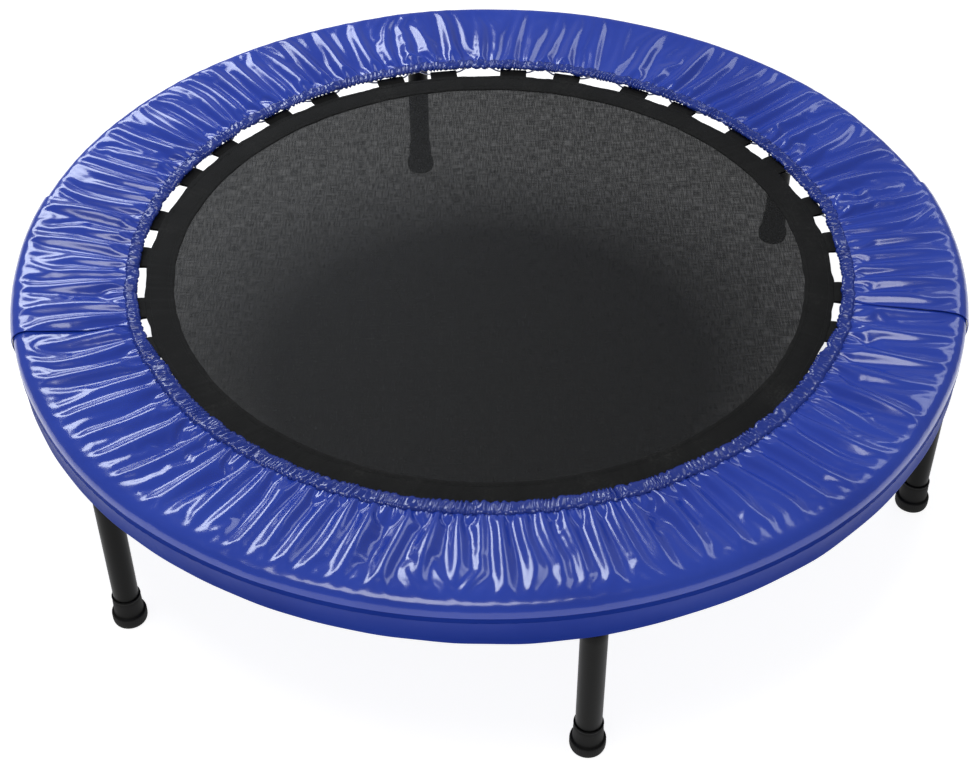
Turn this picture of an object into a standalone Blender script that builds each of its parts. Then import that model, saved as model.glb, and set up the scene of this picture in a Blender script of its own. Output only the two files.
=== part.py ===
"""Mini trampoline: round steel frame on six screw-in legs, sprung mat and a gathered rim cover.

Metres, +Z up, origin on the floor under the centre of the mat. The front is towards -Y.
"""
import math

import bmesh
import bpy
from mathutils import Vector

GAP = 0.0003
STEEL_CHAMFER = 0.0010
SHARP_EDGE_ANGLE = 35.0

# Frame ring: six tube sections, each plugged into the next one.
RING_RADIUS = 0.4745
RING_HEIGHT = 0.2127
TUBE_RADIUS = 0.0125
TUBE_SIDES = 12
SECTION_COUNT = 6
SECTION_ANGLE = 60.0
GRID_STEP = 4.0
FIRST_JOINT_ANGLE = -169.0
SPIGOT_RADIUS = 0.0108
SPIGOT_BORE_RADIUS = 0.0113
SPIGOT_ANGLE = 4.0
JOINT_GAP_ANGLE = 0.04

# Legs stand halfway along each section.
LEG_RADIUS_FROM_CENTRE = 0.4742
LEG_TUBE_RADIUS = 0.0125
LEG_TUBE_WALL = 0.0014
LEG_SIDES = 16
LEG_BOTTOM = 0.0083
LEG_TOP = 0.1705
LEG_PLUG_DEPTH = 0.018
STUD_RADIUS = 0.0048
STUD_TOP = 0.1900
SOCKET_RADIUS = 0.0120
SOCKET_BOTTOM = LEG_TOP + GAP
SOCKET_BORE_RADIUS = STUD_RADIUS + GAP
SOCKET_BORE_TOP = 0.1930

# Rubber feet: a narrow collar over a wider ribbed base.
FOOT_BASE_RADIUS = 0.0170
FOOT_COLLAR_RADIUS = 0.0145
FOOT_LIP_RADIUS = 0.0139
FOOT_BASE_HEIGHT = 0.0140
FOOT_HEIGHT = 0.0360
FOOT_SOLE_RADIUS = 0.0140
FOOT_SOLE_BEVEL = 0.0030
FOOT_STEP_HEIGHT = 0.0015
FOOT_LIP_HEIGHT = 0.0010
FOOT_LIP_BEVEL = 0.0005
FOOT_FLOOR = 0.0080

# Mat: see-through mesh with a stitched border and webbing loops.
MAT_RADIUS = 0.3280
MAT_BOTTOM = 0.2068
MAT_TOP = 0.2080
BORDER_INNER_RADIUS = MAT_RADIUS + GAP
BORDER_OUTER_RADIUS = 0.3585
BORDER_BOTTOM = 0.2062
BORDER_TOP = 0.2086
LOOP_OUTER_RADIUS = 0.3720
LOOP_HALF_ANGLE = 2.5
LOOP_OFFSET_ANGLE = 5.1
SPOKES_PER_GAP = 1

# The loops are sewn on in pairs, slightly closer together round the back.
PAIR_COUNT = 15
BACK_PAIR_STEPS = 9
FIRST_PAIR_ANGLE = -13.8
BACK_PAIR_PITCH = 23.5
FRONT_PAIR_PITCH = (360.0 - BACK_PAIR_STEPS * BACK_PAIR_PITCH) / (PAIR_COUNT - BACK_PAIR_STEPS)

# Springs pull on a V-shaped wire that joins two neighbouring loops.
WIRE_RADIUS = 0.0011
WIRE_SIDES = 4
WIRE_HEIGHT = 0.2073
WIRE_FOOT_RADIUS = 0.3665
WIRE_STUB_ANGLE = 0.25
WIRE_OVERLAP = 0.0002
APEX_NARROW_RADIUS = 0.3800
APEX_WIDE_RADIUS = 0.3860
SPRING_SIDES = 7
SPRING_END_THICKNESS = 0.00132
SPRING_OUTER_HEIGHT = 0.2105
SPRING_END_RADIUS = 0.4617
COIL_RADIUS = 0.0050
COIL_START_RADIUS = 0.3945
COIL_END_RADIUS = 0.4520
COIL_NECK = 0.0020

# Rim cover: four top panels over the springs and tube, four skirt panels sewn to them, an elastic
# tunnel along the inner edge and a hem along the lower one.
COVER_THICKNESS = 0.0008
COVER_TUBE_RADIUS = 0.0142
COVER_SLOPE = 0.105
COVER_INNER_RADIUS = 0.3740
COVER_SLOPE_RADII = (COVER_INNER_RADIUS, 0.4100, 0.4480)
TOP_SEAM_ANGLE = -10.0
COVER_ROUND_ANGLES = (90.0, 60.0, 30.0, TOP_SEAM_ANGLE)
SEAM_GAP = 0.0005
SKIRT_BOTTOM_RADIUS = 0.4890
SKIRT_BOTTOM = 0.1750
PANEL_GAP_ANGLE = 0.02
ELASTIC_INNER_RADIUS = 0.3644
ELASTIC_OUTER_RADIUS = 0.3737
ELASTIC_HEIGHT = 0.2140
ELASTIC_HALF_HEIGHT = 0.0024
HEM_TOP = 0.1850
HEM_THICKNESS = 0.0009
PANELS = (
    ("front", 199.0, 347.0),
    ("right", 347.0, 371.0),
    ("back", 371.0, 531.0),
    ("left", 531.0, 559.0),
)

STEEL = ("black_steel", (0.018, 0.018, 0.020), 0.9, 0.38)
RUBBER = ("black_rubber", (0.014, 0.014, 0.014), 0.0, 0.75)
ZINC = ("zinc_spring", (0.56, 0.57, 0.58), 1.0, 0.32)
MESH_CLOTH = ("mat_mesh", (0.035, 0.035, 0.036), 0.0, 0.85)
WEBBING = ("black_webbing", (0.012, 0.012, 0.012), 0.0, 0.80)
VINYL = ("blue_vinyl", (0.030, 0.065, 0.420), 0.0, 0.20)
ELASTIC = ("blue_elastic", (0.025, 0.050, 0.360), 0.0, 0.30)


def clear_scene():
    for item in list(bpy.data.objects):
        bpy.data.objects.remove(item, do_unlink=True)


def make_material(name, spec):
    label, colour, metallic, roughness = spec
    material = bpy.data.materials.new(name + "_" + label)
    material.use_nodes = True
    shader = material.node_tree.nodes["Principled BSDF"]
    shader.inputs["Base Color"].default_value = (*colour, 1.0)
    shader.inputs["Metallic"].default_value = metallic
    shader.inputs["Roughness"].default_value = roughness
    material.diffuse_color = (*colour, 1.0)
    return material


def polar(radius, degrees, height):
    angle = math.radians(degrees)
    return Vector((radius * math.cos(angle), radius * math.sin(angle), height))


def add_object(name, points, faces, spec, origin=(0.0, 0.0, 0.0)):
    """Makes a closed outward mesh whose local origin is the given world point."""
    shift = Vector(origin)
    work = bmesh.new()
    verts = [work.verts.new(Vector(point) - shift) for point in points]
    for face in faces:
        work.faces.new([verts[index] for index in face])
    bmesh.ops.recalc_face_normals(work, faces=work.faces)
    if work.calc_volume(signed=True) < 0:
        bmesh.ops.reverse_faces(work, faces=work.faces)
    mesh = bpy.data.meshes.new(name)
    work.to_mesh(mesh)
    work.free()
    for polygon in mesh.polygons:
        polygon.use_smooth = True
    mesh.set_sharp_from_angle(angle=math.radians(SHARP_EDGE_ANGLE))
    item = bpy.data.objects.new(name, mesh)
    item.location = shift
    bpy.context.scene.collection.objects.link(item)
    mesh.materials.append(make_material(name, spec))
    return item


def loop_faces(station_count, sides, closed):
    """Quads between successive loops of points, joined end to start when closed."""
    faces = []
    last = station_count if closed else station_count - 1
    for station in range(last):
        following = (station + 1) % station_count
        for side in range(sides):
            beside = (side + 1) % sides
            faces.append((station * sides + side, station * sides + beside,
                          following * sides + beside, following * sides + side))
    return faces


def ring_sweep(name, profile, angles, closed, spec):
    """Turns a closed (radius, height) outline round the vertical axis through the centre."""
    points = []
    for degrees in angles:
        for radius, height in profile:
            points.append(polar(radius, degrees, height))
    sides = len(profile)
    faces = loop_faces(len(angles), sides, closed)
    if not closed:
        faces.append(tuple(range(sides)))
        start = (len(angles) - 1) * sides
        faces.append(tuple(range(start, start + sides)))
    return add_object(name, points, faces, spec)


def lathe(name, centre, outline, sides, spec):
    """Turns an open (radius, height) outline round a vertical axis; both ends lie on the axis."""
    x, y = centre
    points = [(x, y, outline[0][1])]
    for radius, height in outline[1:-1]:
        for side in range(sides):
            angle = 2.0 * math.pi * side / sides
            points.append((x + radius * math.cos(angle), y + radius * math.sin(angle), height))
    points.append((x, y, outline[-1][1]))
    rings = len(outline) - 2
    faces = []
    for first, second, third, fourth in loop_faces(rings, sides, False):
        faces.append((first + 1, second + 1, third + 1, fourth + 1))
    top = len(points) - 1
    for side in range(sides):
        beside = (side + 1) % sides
        faces.append((0, 1 + beside, 1 + side))
        start = 1 + (rings - 1) * sides
        faces.append((top, start + side, start + beside))
    return add_object(name, points, faces, spec, (x, y, 0.0))


def path_sweep(name, path, radii, sides, spec):
    """Round bar along a path that stays close to level, with one radius per path point."""
    points = []
    for index, point in enumerate(path):
        before = Vector(path[max(index - 1, 0)])
        after = Vector(path[min(index + 1, len(path) - 1)])
        along = (after - before).normalized()
        across = along.cross(Vector((0.0, 0.0, 1.0))).normalized()
        above = across.cross(along)
        for side in range(sides):
            angle = 2.0 * math.pi * (side + 0.5) / sides
            offset = across * math.cos(angle) + above * math.sin(angle)
            points.append(Vector(point) + offset * radii[index])
    faces = loop_faces(len(path), sides, False)
    faces.append(tuple(range(sides)))
    start = (len(path) - 1) * sides
    faces.append(tuple(range(start, start + sides)))
    return add_object(name, points, faces, spec)


def combine(target, tool, operation):
    """Applies an exact Boolean and removes the tool object."""
    modifier = target.modifiers.new("combine", "BOOLEAN")
    modifier.operation = operation
    modifier.solver = "EXACT"
    modifier.object = tool
    depsgraph = bpy.context.evaluated_depsgraph_get()
    result = bpy.data.meshes.new_from_object(target.evaluated_get(depsgraph))
    target.modifiers.remove(modifier)
    target.data = result
    bpy.data.objects.remove(tool, do_unlink=True)


def grid_angles(start, end):
    count = round((end - start) / GRID_STEP)
    return [start + (end - start) * index / count for index in range(count + 1)]


def frame_section_stations(start):
    """Tube circles as (angle, radius): up the bore, over the outside and down to the spigot end."""
    first = start + JOINT_GAP_ANGLE
    last = start + SECTION_ANGLE
    stations = [(start + SPIGOT_ANGLE + 2.0 * JOINT_GAP_ANGLE, SPIGOT_BORE_RADIUS)]
    stations.append((first, SPIGOT_BORE_RADIUS))
    stations.append((first, TUBE_RADIUS))
    for degrees in grid_angles(start, last)[1:-1]:
        stations.append((degrees, TUBE_RADIUS))
    stations.append((last, TUBE_RADIUS))
    stations.append((last, SPIGOT_RADIUS))
    stations.append((last + SPIGOT_ANGLE, SPIGOT_RADIUS))
    return stations


def make_frame_section(number):
    start = FIRST_JOINT_ANGLE + number * SECTION_ANGLE
    stations = frame_section_stations(start)
    points = []
    for degrees, radius in stations:
        for side in range(TUBE_SIDES):
            angle = 2.0 * math.pi * (side + 0.5) / TUBE_SIDES
            height = RING_HEIGHT + radius * math.sin(angle)
            points.append(polar(RING_RADIUS + radius * math.cos(angle), degrees, height))
    faces = loop_faces(len(stations), TUBE_SIDES, False)
    faces.append(tuple(range(TUBE_SIDES)))
    end = (len(stations) - 1) * TUBE_SIDES
    faces.append(tuple(range(end, end + TUBE_SIDES)))
    section = add_object("frame_section_%d" % (number + 1), points, faces, STEEL)
    leg = polar(LEG_RADIUS_FROM_CENTRE, start + SECTION_ANGLE / 2.0, 0.0)
    outline = (
        (0.0, SOCKET_BORE_TOP),
        (SOCKET_BORE_RADIUS, SOCKET_BORE_TOP),
        (SOCKET_BORE_RADIUS, SOCKET_BOTTOM),
        (SOCKET_RADIUS - STEEL_CHAMFER, SOCKET_BOTTOM),
        (SOCKET_RADIUS, SOCKET_BOTTOM + STEEL_CHAMFER),
        (SOCKET_RADIUS, RING_HEIGHT),
        (0.0, RING_HEIGHT),
    )
    socket = lathe("socket", (leg.x, leg.y), outline, LEG_SIDES, STEEL)
    combine(section, socket, "UNION")
    return section


def make_leg(number):
    degrees = FIRST_JOINT_ANGLE + (number + 0.5) * SECTION_ANGLE
    spot = polar(LEG_RADIUS_FROM_CENTRE, degrees, 0.0)
    bore = LEG_TUBE_RADIUS - LEG_TUBE_WALL
    outline = (
        (0.0, LEG_TOP - LEG_PLUG_DEPTH),
        (bore, LEG_TOP - LEG_PLUG_DEPTH),
        (bore, LEG_BOTTOM),
        (LEG_TUBE_RADIUS, LEG_BOTTOM),
        (LEG_TUBE_RADIUS, LEG_TOP - STEEL_CHAMFER),
        (LEG_TUBE_RADIUS - STEEL_CHAMFER, LEG_TOP),
        (STUD_RADIUS, LEG_TOP),
        (STUD_RADIUS, STUD_TOP - STEEL_CHAMFER),
        (STUD_RADIUS - STEEL_CHAMFER, STUD_TOP),
        (0.0, STUD_TOP),
    )
    return lathe("leg_%d" % (number + 1), (spot.x, spot.y), outline, LEG_SIDES, STEEL)


def make_foot(number):
    degrees = FIRST_JOINT_ANGLE + (number + 0.5) * SECTION_ANGLE
    spot = polar(LEG_RADIUS_FROM_CENTRE, degrees, 0.0)
    bore = LEG_TUBE_RADIUS + GAP
    outline = (
        (0.0, 0.0),
        (FOOT_SOLE_RADIUS, 0.0),
        (FOOT_BASE_RADIUS, FOOT_SOLE_BEVEL),
        (FOOT_BASE_RADIUS, FOOT_BASE_HEIGHT),
        (FOOT_COLLAR_RADIUS, FOOT_BASE_HEIGHT + FOOT_STEP_HEIGHT),
        (FOOT_LIP_RADIUS, FOOT_HEIGHT - FOOT_LIP_HEIGHT),
        (FOOT_LIP_RADIUS - FOOT_LIP_BEVEL, FOOT_HEIGHT),
        (bore, FOOT_HEIGHT),
        (bore, FOOT_FLOOR),
        (0.0, FOOT_FLOOR),
    )
    return lathe("foot_%d" % (number + 1), (spot.x, spot.y), outline, LEG_SIDES, RUBBER)


def pair_angles():
    angles = [FIRST_PAIR_ANGLE]
    for step in range(1, PAIR_COUNT):
        pitch = BACK_PAIR_PITCH if step <= BACK_PAIR_STEPS else FRONT_PAIR_PITCH
        angles.append(angles[-1] + pitch)
    return angles


def loop_centres():
    centres = []
    for middle in pair_angles():
        centres.append(middle - LOOP_OFFSET_ANGLE)
        centres.append(middle + LOOP_OFFSET_ANGLE)
    return centres


def spoke_angles():
    """Angles shared by the mat's rim and the border: loop edges, and points along each gap."""
    centres = loop_centres()
    angles = []
    for index, centre in enumerate(centres):
        after = centres[index + 1] if index + 1 < len(centres) else centres[0] + 360.0
        start = centre + LOOP_HALF_ANGLE
        end = after - LOOP_HALF_ANGLE
        angles.append(centre - LOOP_HALF_ANGLE)
        angles.append(start)
        for step in range(1, SPOKES_PER_GAP + 1):
            angles.append(start + (end - start) * step / (SPOKES_PER_GAP + 1))
    return angles


def make_mat():
    angles = spoke_angles()
    points = []
    for height in (MAT_BOTTOM, MAT_TOP):
        for degrees in angles:
            points.append(polar(MAT_RADIUS, degrees, height))
        points.append((0.0, 0.0, height))
    count = len(angles)
    layer = count + 1
    faces = []
    for index in range(count):
        following = (index + 1) % count
        faces.append((index, following, layer + following, layer + index))
        faces.append((count, following, index))
        faces.append((layer + count, layer + index, layer + following))
    return add_object("mat", points, faces, MESH_CLOTH)


def make_mat_border():
    """Flat border ring; its outer edge steps out at each webbing loop."""
    angles = spoke_angles()
    count = len(angles)
    per_loop = SPOKES_PER_GAP + 2
    loops = count // per_loop
    points = []
    for height in (BORDER_BOTTOM, BORDER_TOP):
        for radius in (BORDER_INNER_RADIUS, BORDER_OUTER_RADIUS):
            for degrees in angles:
                points.append(polar(radius, degrees, height))
        for loop in range(loops):
            for degrees in angles[loop * per_loop:loop * per_loop + 2]:
                points.append(polar(LOOP_OUTER_RADIUS, degrees, height))
    layer = 2 * count + 2 * loops
    faces = []
    for index in range(count):
        following = (index + 1) % count
        inner = (index, following)
        outer = (count + index, count + following)
        for base in (0, layer):
            faces.append((base + inner[0], base + inner[1], base + outer[1], base + outer[0]))
        faces.append((inner[0], inner[1], layer + inner[1], layer + inner[0]))
        if index % per_loop:
            faces.append((outer[0], outer[1], layer + outer[1], layer + outer[0]))
            continue
        tip = 2 * count + 2 * (index // per_loop)
        for base in (0, layer):
            faces.append((base + outer[0], base + outer[1], base + tip + 1, base + tip))
        faces.append((outer[0], tip, layer + tip, layer + outer[0]))
        faces.append((tip, tip + 1, layer + tip + 1, layer + tip))
        faces.append((tip + 1, outer[1], layer + outer[1], layer + tip + 1))
    return add_object("mat_border", points, faces, WEBBING)


def make_spring(name, middle, half_gap, apex_radius):
    """One V wire between two loops and the spring that pulls on it, welded into one body."""
    foot_angle = half_gap - math.degrees(GAP / WIRE_FOOT_RADIUS)
    bend_angle = foot_angle - WIRE_STUB_ANGLE
    wire_path = (
        polar(WIRE_FOOT_RADIUS, middle - foot_angle, WIRE_HEIGHT),
        polar(WIRE_FOOT_RADIUS, middle - bend_angle, WIRE_HEIGHT),
        polar(apex_radius, middle, WIRE_HEIGHT),
        polar(WIRE_FOOT_RADIUS, middle + bend_angle, WIRE_HEIGHT),
        polar(WIRE_FOOT_RADIUS, middle + foot_angle, WIRE_HEIGHT),
    )
    wire = path_sweep("wire", wire_path, (WIRE_RADIUS,) * 5, WIRE_SIDES, ZINC)
    stations = (
        (apex_radius - WIRE_OVERLAP, SPRING_END_THICKNESS),
        (COIL_START_RADIUS, SPRING_END_THICKNESS),
        (COIL_START_RADIUS + COIL_NECK, COIL_RADIUS),
        (COIL_END_RADIUS - COIL_NECK, COIL_RADIUS),
        (COIL_END_RADIUS, SPRING_END_THICKNESS),
        (SPRING_END_RADIUS, SPRING_END_THICKNESS),
    )
    run = SPRING_END_RADIUS - apex_radius
    path = []
    for radius, _ in stations:
        rise = (SPRING_OUTER_HEIGHT - WIRE_HEIGHT) * (radius - apex_radius) / run
        path.append(polar(radius, middle, WIRE_HEIGHT + rise))
    spring = path_sweep(name, path, [size for _, size in stations], SPRING_SIDES, ZINC)
    combine(spring, wire, "UNION")
    return spring


def make_springs():
    middles = pair_angles()
    middles.append(middles[0] + 360.0)
    for pair in range(PAIR_COUNT):
        narrow = LOOP_OFFSET_ANGLE - LOOP_HALF_ANGLE
        make_spring("spring_%02d" % (pair * 2 + 1), middles[pair], narrow, APEX_NARROW_RADIUS)
        half_pitch = (middles[pair + 1] - middles[pair]) / 2.0
        wide = half_pitch - LOOP_OFFSET_ANGLE - LOOP_HALF_ANGLE
        middle = middles[pair] + half_pitch
        make_spring("spring_%02d" % (pair * 2 + 2), middle, wide, APEX_WIDE_RADIUS)


def cover_round_point(degrees, radius=COVER_TUBE_RADIUS):
    """A point of the cover's outer skin where it is wrapped round the frame tube."""
    angle = math.radians(degrees)
    return (RING_RADIUS + radius * math.cos(angle), RING_HEIGHT + radius * math.sin(angle))


def top_profile():
    """Closed outline of a top panel, from its inner edge out and over the tube."""
    top = RING_HEIGHT + COVER_TUBE_RADIUS
    outer = []
    inner = []
    for radius in COVER_SLOPE_RADII:
        height = top - (RING_RADIUS - radius) * COVER_SLOPE
        outer.append((radius, height))
        inner.append((radius, height - COVER_THICKNESS))
    for degrees in COVER_ROUND_ANGLES:
        outer.append(cover_round_point(degrees))
        inner.append(cover_round_point(degrees, COVER_TUBE_RADIUS - COVER_THICKNESS))
    return outer + inner[::-1]


def skirt_profile():
    """Closed outline of a skirt panel, from the seam below the top panel to the lower edge."""
    seam_radius, seam_height = cover_round_point(TOP_SEAM_ANGLE)
    top = seam_height - SEAM_GAP
    return (
        (seam_radius, top),
        (SKIRT_BOTTOM_RADIUS, SKIRT_BOTTOM),
        (SKIRT_BOTTOM_RADIUS - COVER_THICKNESS, SKIRT_BOTTOM),
        (seam_radius - COVER_THICKNESS, top),
    )


def make_cover_panels():
    for side, start, end in PANELS:
        angles = grid_angles(start, end)
        angles[0] += PANEL_GAP_ANGLE
        angles[-1] -= PANEL_GAP_ANGLE
        ring_sweep("cover_top_" + side, top_profile(), angles, False, VINYL)
        ring_sweep("cover_skirt_" + side, skirt_profile(), angles, False, VINYL)


def full_circle_angles():
    return [FIRST_JOINT_ANGLE + GRID_STEP * step for step in range(round(360.0 / GRID_STEP))]


def make_elastic():
    """Flattened six-sided ring, as wide as the gathered tunnel."""
    middle = (ELASTIC_INNER_RADIUS + ELASTIC_OUTER_RADIUS) / 2.0
    half_width = (ELASTIC_OUTER_RADIUS - ELASTIC_INNER_RADIUS) / 2.0
    shoulder = half_width / 2.0
    top = ELASTIC_HEIGHT + ELASTIC_HALF_HEIGHT
    bottom = ELASTIC_HEIGHT - ELASTIC_HALF_HEIGHT
    profile = (
        (ELASTIC_OUTER_RADIUS, ELASTIC_HEIGHT),
        (middle + shoulder, top),
        (middle - shoulder, top),
        (ELASTIC_INNER_RADIUS, ELASTIC_HEIGHT),
        (middle - shoulder, bottom),
        (middle + shoulder, bottom),
    )
    return ring_sweep("cover_elastic", profile, full_circle_angles(), True, ELASTIC)


def make_hem():
    outer = SKIRT_BOTTOM_RADIUS - COVER_THICKNESS - GAP
    inner = outer - HEM_THICKNESS
    profile = ((outer, SKIRT_BOTTOM), (outer, HEM_TOP), (inner, HEM_TOP), (inner, SKIRT_BOTTOM))
    return ring_sweep("cover_hem", profile, full_circle_angles(), True, ELASTIC)


def build():
    clear_scene()
    for number in range(SECTION_COUNT):
        make_frame_section(number)
        make_leg(number)
        make_foot(number)
    make_mat()
    make_mat_border()
    make_springs()
    make_cover_panels()
    make_elastic()
    make_hem()


build()
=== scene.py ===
"""Mini trampoline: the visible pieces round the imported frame. Metres, +Z up, front towards -Y."""
import math

import bmesh
import bpy
import numpy as np
from mathutils import Matrix, Vector


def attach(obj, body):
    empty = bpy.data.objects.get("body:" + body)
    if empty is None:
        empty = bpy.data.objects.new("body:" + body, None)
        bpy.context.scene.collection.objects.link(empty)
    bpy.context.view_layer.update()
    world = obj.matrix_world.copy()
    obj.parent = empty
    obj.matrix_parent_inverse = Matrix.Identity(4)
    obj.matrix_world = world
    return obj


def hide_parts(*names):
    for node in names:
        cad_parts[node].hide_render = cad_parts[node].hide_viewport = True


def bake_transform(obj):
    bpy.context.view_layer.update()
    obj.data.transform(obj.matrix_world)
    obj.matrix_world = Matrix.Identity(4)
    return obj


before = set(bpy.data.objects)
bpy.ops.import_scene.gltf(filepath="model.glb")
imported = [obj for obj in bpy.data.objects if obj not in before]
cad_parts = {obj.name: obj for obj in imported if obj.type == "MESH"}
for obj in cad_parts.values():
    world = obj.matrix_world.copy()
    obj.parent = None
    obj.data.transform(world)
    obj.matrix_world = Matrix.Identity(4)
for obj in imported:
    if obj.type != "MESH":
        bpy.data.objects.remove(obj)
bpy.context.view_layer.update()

# Camera, at the height and distance of a standing person's view.
CAMERA_PLACE = (-0.002, -1.428, 1.323)
CAMERA_TILT = 47.87
CAMERA_ROLL = -0.07
CAMERA_LENS = 63.52

# Frame ring and legs.
RING_RADIUS = 0.4745
RING_HEIGHT = 0.2127
TUBE_RADIUS = 0.0125
SPIGOT_RADIUS = 0.0108
SPIGOT_ANGLE = 4.0
SECTION_COUNT = 6
SECTION_ANGLE = 60.0
FIRST_JOINT_ANGLE = -169.0
JOINT_GAP_ANGLE = 0.04
TUBE_SIDES = 40
TUBE_STATIONS = 60
EDGE_ROUND = 0.0004
EDGE_ANGLE = 0.05
LEG_RADIUS_FROM_CENTRE = 0.4742
LEG_TUBE_RADIUS = 0.0125
LEG_BOTTOM = 0.0083
LEG_TOP = 0.1705
LEG_SIDES = 56
STUD_RADIUS = 0.0047
STUD_TOP = 0.1898
THREAD_PITCH = 0.00125
THREAD_DEPTH = 0.0006
SOCKET_RADIUS = 0.0120
SOCKET_BOTTOM = 0.1708
SOCKET_BORE_RADIUS = 0.0051
SOCKET_BORE_TOP = 0.1930
SOCKET_SIDES = 48
SOCKET_BEVEL = 0.0006
SOCKET_ROUND = 0.0008
WELD_RADIUS = 0.0017
WELD_POINTS = 96
HOLE_RADIUS = 0.0022
HOLE_RIM_RADIUS = 0.0005
HOLE_LIFT = 0.0005

# Rubber foot: radius and height of its outline, from the sole up and back down the bore.
FOOT_OUTLINE = ((0.0, 0.0012), (0.0050, 0.0012), (0.0056, 0.0), (0.0078, 0.0), (0.0084, 0.0012),
                (0.0104, 0.0012), (0.0110, 0.0), (0.0138, 0.0), (0.0152, 0.0004), (0.0163, 0.0013),
                (0.0169, 0.0030), (0.0170, 0.0050), (0.0170, 0.0118), (0.0168, 0.0130),
                (0.0161, 0.0138), (0.0151, 0.0140), (0.0146, 0.0144), (0.0144, 0.0152),
                (0.0145, 0.0164), (0.0144, 0.0200), (0.0141, 0.0290), (0.0139, 0.0325),
                (0.0137, 0.0331), (0.0139, 0.0337), (0.0142, 0.0344), (0.0141, 0.0353),
                (0.0136, 0.0359), (0.0131, 0.0360), (0.0128, 0.0356), (0.0127, 0.0345),
                (0.0127, 0.0083), (0.0, 0.0083))
FOOT_SIDES = 192
FOOT_RIB_COUNT = 48.0
FOOT_RIB_DEPTH = 0.00022

# Mat, its border and the webbing loops, which are sewn on in pairs.
MAT_RADIUS = 0.3290
MAT_COLUMNS = 240
MAT_MIDDLE = 0.2074
MAT_HALF_THICKNESS = 0.0004
BAND_INNER_RADIUS = 0.3283
BAND_OUTER_RADIUS = 0.3585
BAND_COLUMNS = 1080
BAND_BOTTOM = 0.2063
BAND_TOP = 0.2085
LOOP_OUTER_RADIUS = 0.3720
LOOP_HALF_WIDTH = 0.0158
LOOP_HALF_ANGLE = 2.5
LOOP_OFFSET_ANGLE = 5.1
LOOP_SKEW = 0.6
STRAP_THICKNESS = 0.0009
STRAP_EDGE = 0.0004
STRAP_BEND = 0.0017
PAIR_COUNT = 15
BACK_PAIR_STEPS = 9
FIRST_PAIR_ANGLE = -13.8
BACK_PAIR_PITCH = 23.5
FRONT_PAIR_PITCH = (360.0 - BACK_PAIR_STEPS * BACK_PAIR_PITCH) / (PAIR_COUNT - BACK_PAIR_STEPS)

# Border tape: its outline as a share of the width and of the half thickness, from the inner edge.
BAND_OUTLINE = ((0.0, -0.5), (0.012, -0.9), (0.03, -1.0), (0.35, -0.9), (0.7, -0.9), (0.97, -1.0),
                (0.99, -0.8), (1.0, 0.0), (0.99, 0.8), (0.97, 1.0), (0.84, 0.95), (0.80, 0.78),
                (0.76, 0.95), (0.5, 1.0), (0.24, 0.95), (0.20, 0.78), (0.16, 0.95), (0.03, 1.0),
                (0.012, 0.8), (0.0, 0.2))

# A loop's strap, as points with a radius and a height over the link: out above it and back below
# it, and then the radii where it is sewn flat under the border.
STRAP_ABOVE = ((0.3570, 0.0002), (0.3590, 0.0006), (0.3610, 0.0011), (0.3650, 0.0016))
STRAP_BELOW = ((0.3650, -0.0016), (0.3600, -0.0014))
STRAP_SEWN_RADII = (0.3560, 0.3480, 0.3345)

# Stitches: thread radius, their length on each piece, and the rows on the border as a radius and
# a number of stitches. The box on each loop runs between two radii.
THREAD_RADIUS = 0.00022
HEM_STITCH = 0.0026
TUNNEL_STITCH = 0.0022
BORDER_STITCH = 0.0025
LOOP_STITCH = 0.0024
LOOP_STITCH_PITCH = 0.0031
BORDER_STITCH_ROWS = ((0.3312, 640), (0.3342, 646), (0.3528, 680))
BOX_INNER_RADIUS = 0.3362
BOX_OUTER_RADIUS = 0.3565
BOX_HALF_WIDTH = 0.0130

# Springs and the wire links that they pull on.
LINK_HEIGHT = 0.2073
LINK_WIRE_RADIUS = 0.00065
LINK_FOOT_RADIUS = 0.3695
LINK_HALF_SPACING = 0.0007
APEX_NARROW_RADIUS = 0.3800
APEX_WIDE_RADIUS = 0.3860
SPRING_WIRE_RADIUS = 0.0008
WIRE_SIDES = 7
COIL_RADIUS = 0.0050
COIL_START_RADIUS = 0.3945
COIL_END_RADIUS = 0.4520
COIL_TURNS = 25
POINTS_PER_TURN = 14
SPRING_OUTER_HEIGHT = 0.2105
SPRING_END_RADIUS = 0.4612
HOOK_RADIUS = 0.0021

# A spring's straight ends: where each point is measured from, how far past it, and how far above
# the spring's own axis there.
COIL_LEAD_IN = (COIL_START_RADIUS, -0.0030, 0.0006)
OUTER_HOOK = ((COIL_END_RADIUS, 0.0030, 0.0008), (SPRING_END_RADIUS, -0.0010, 0.0010),
              (SPRING_END_RADIUS, 0.0030, -0.0008), (SPRING_END_RADIUS, 0.0036, -0.0030))

# Rim cover.
COVER_THICKNESS = 0.0007
COVER_TUBE_RADIUS = 0.0140
COVER_SLOPE = 0.105
SEAM_RADIUS = 0.3775
SEAM_HEIGHT = 0.2158
ELASTIC_HEIGHT = 0.2143
RIM_REACH = 0.0141
RIM_SQUARENESS = 0.42
RIM_SEAM_RADIUS = 0.4883
RIM_SEAM_HEIGHT = 0.2103
FRONT_REACH = 0.0084
SKIRT_BOTTOM_RADIUS = 0.4888
SKIRT_BOTTOM = 0.1752
TUNNEL_HALF_WIDTH = 0.0064
TUNNEL_HALF_HEIGHT = 0.0030
TUNNEL_FRONT_EXTRA = 0.0023
TUNNEL_FRONT_SHIFT = 0.0016
TUNNEL_COLUMNS = 3240
PUCKER_COUNT = 330
FINE_PUCKER_COUNT = 548
TUNNEL_OVERLAP = 0.0010
TUNNEL_SWELL = 0.0026
TUNNEL_FINE_SWELL = 0.0007
HEM_TOP = 0.1850
HEM_GAP = 0.0003
SKIRT_FOLD_RADIUS = 0.0006
SKIRT_SLACK = 0.0008
SKIRT_ROWS = 14
SKIRT_STEP = 0.5
HEM_COLUMNS = 720
HEM_STITCH_COUNT = 760

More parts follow.
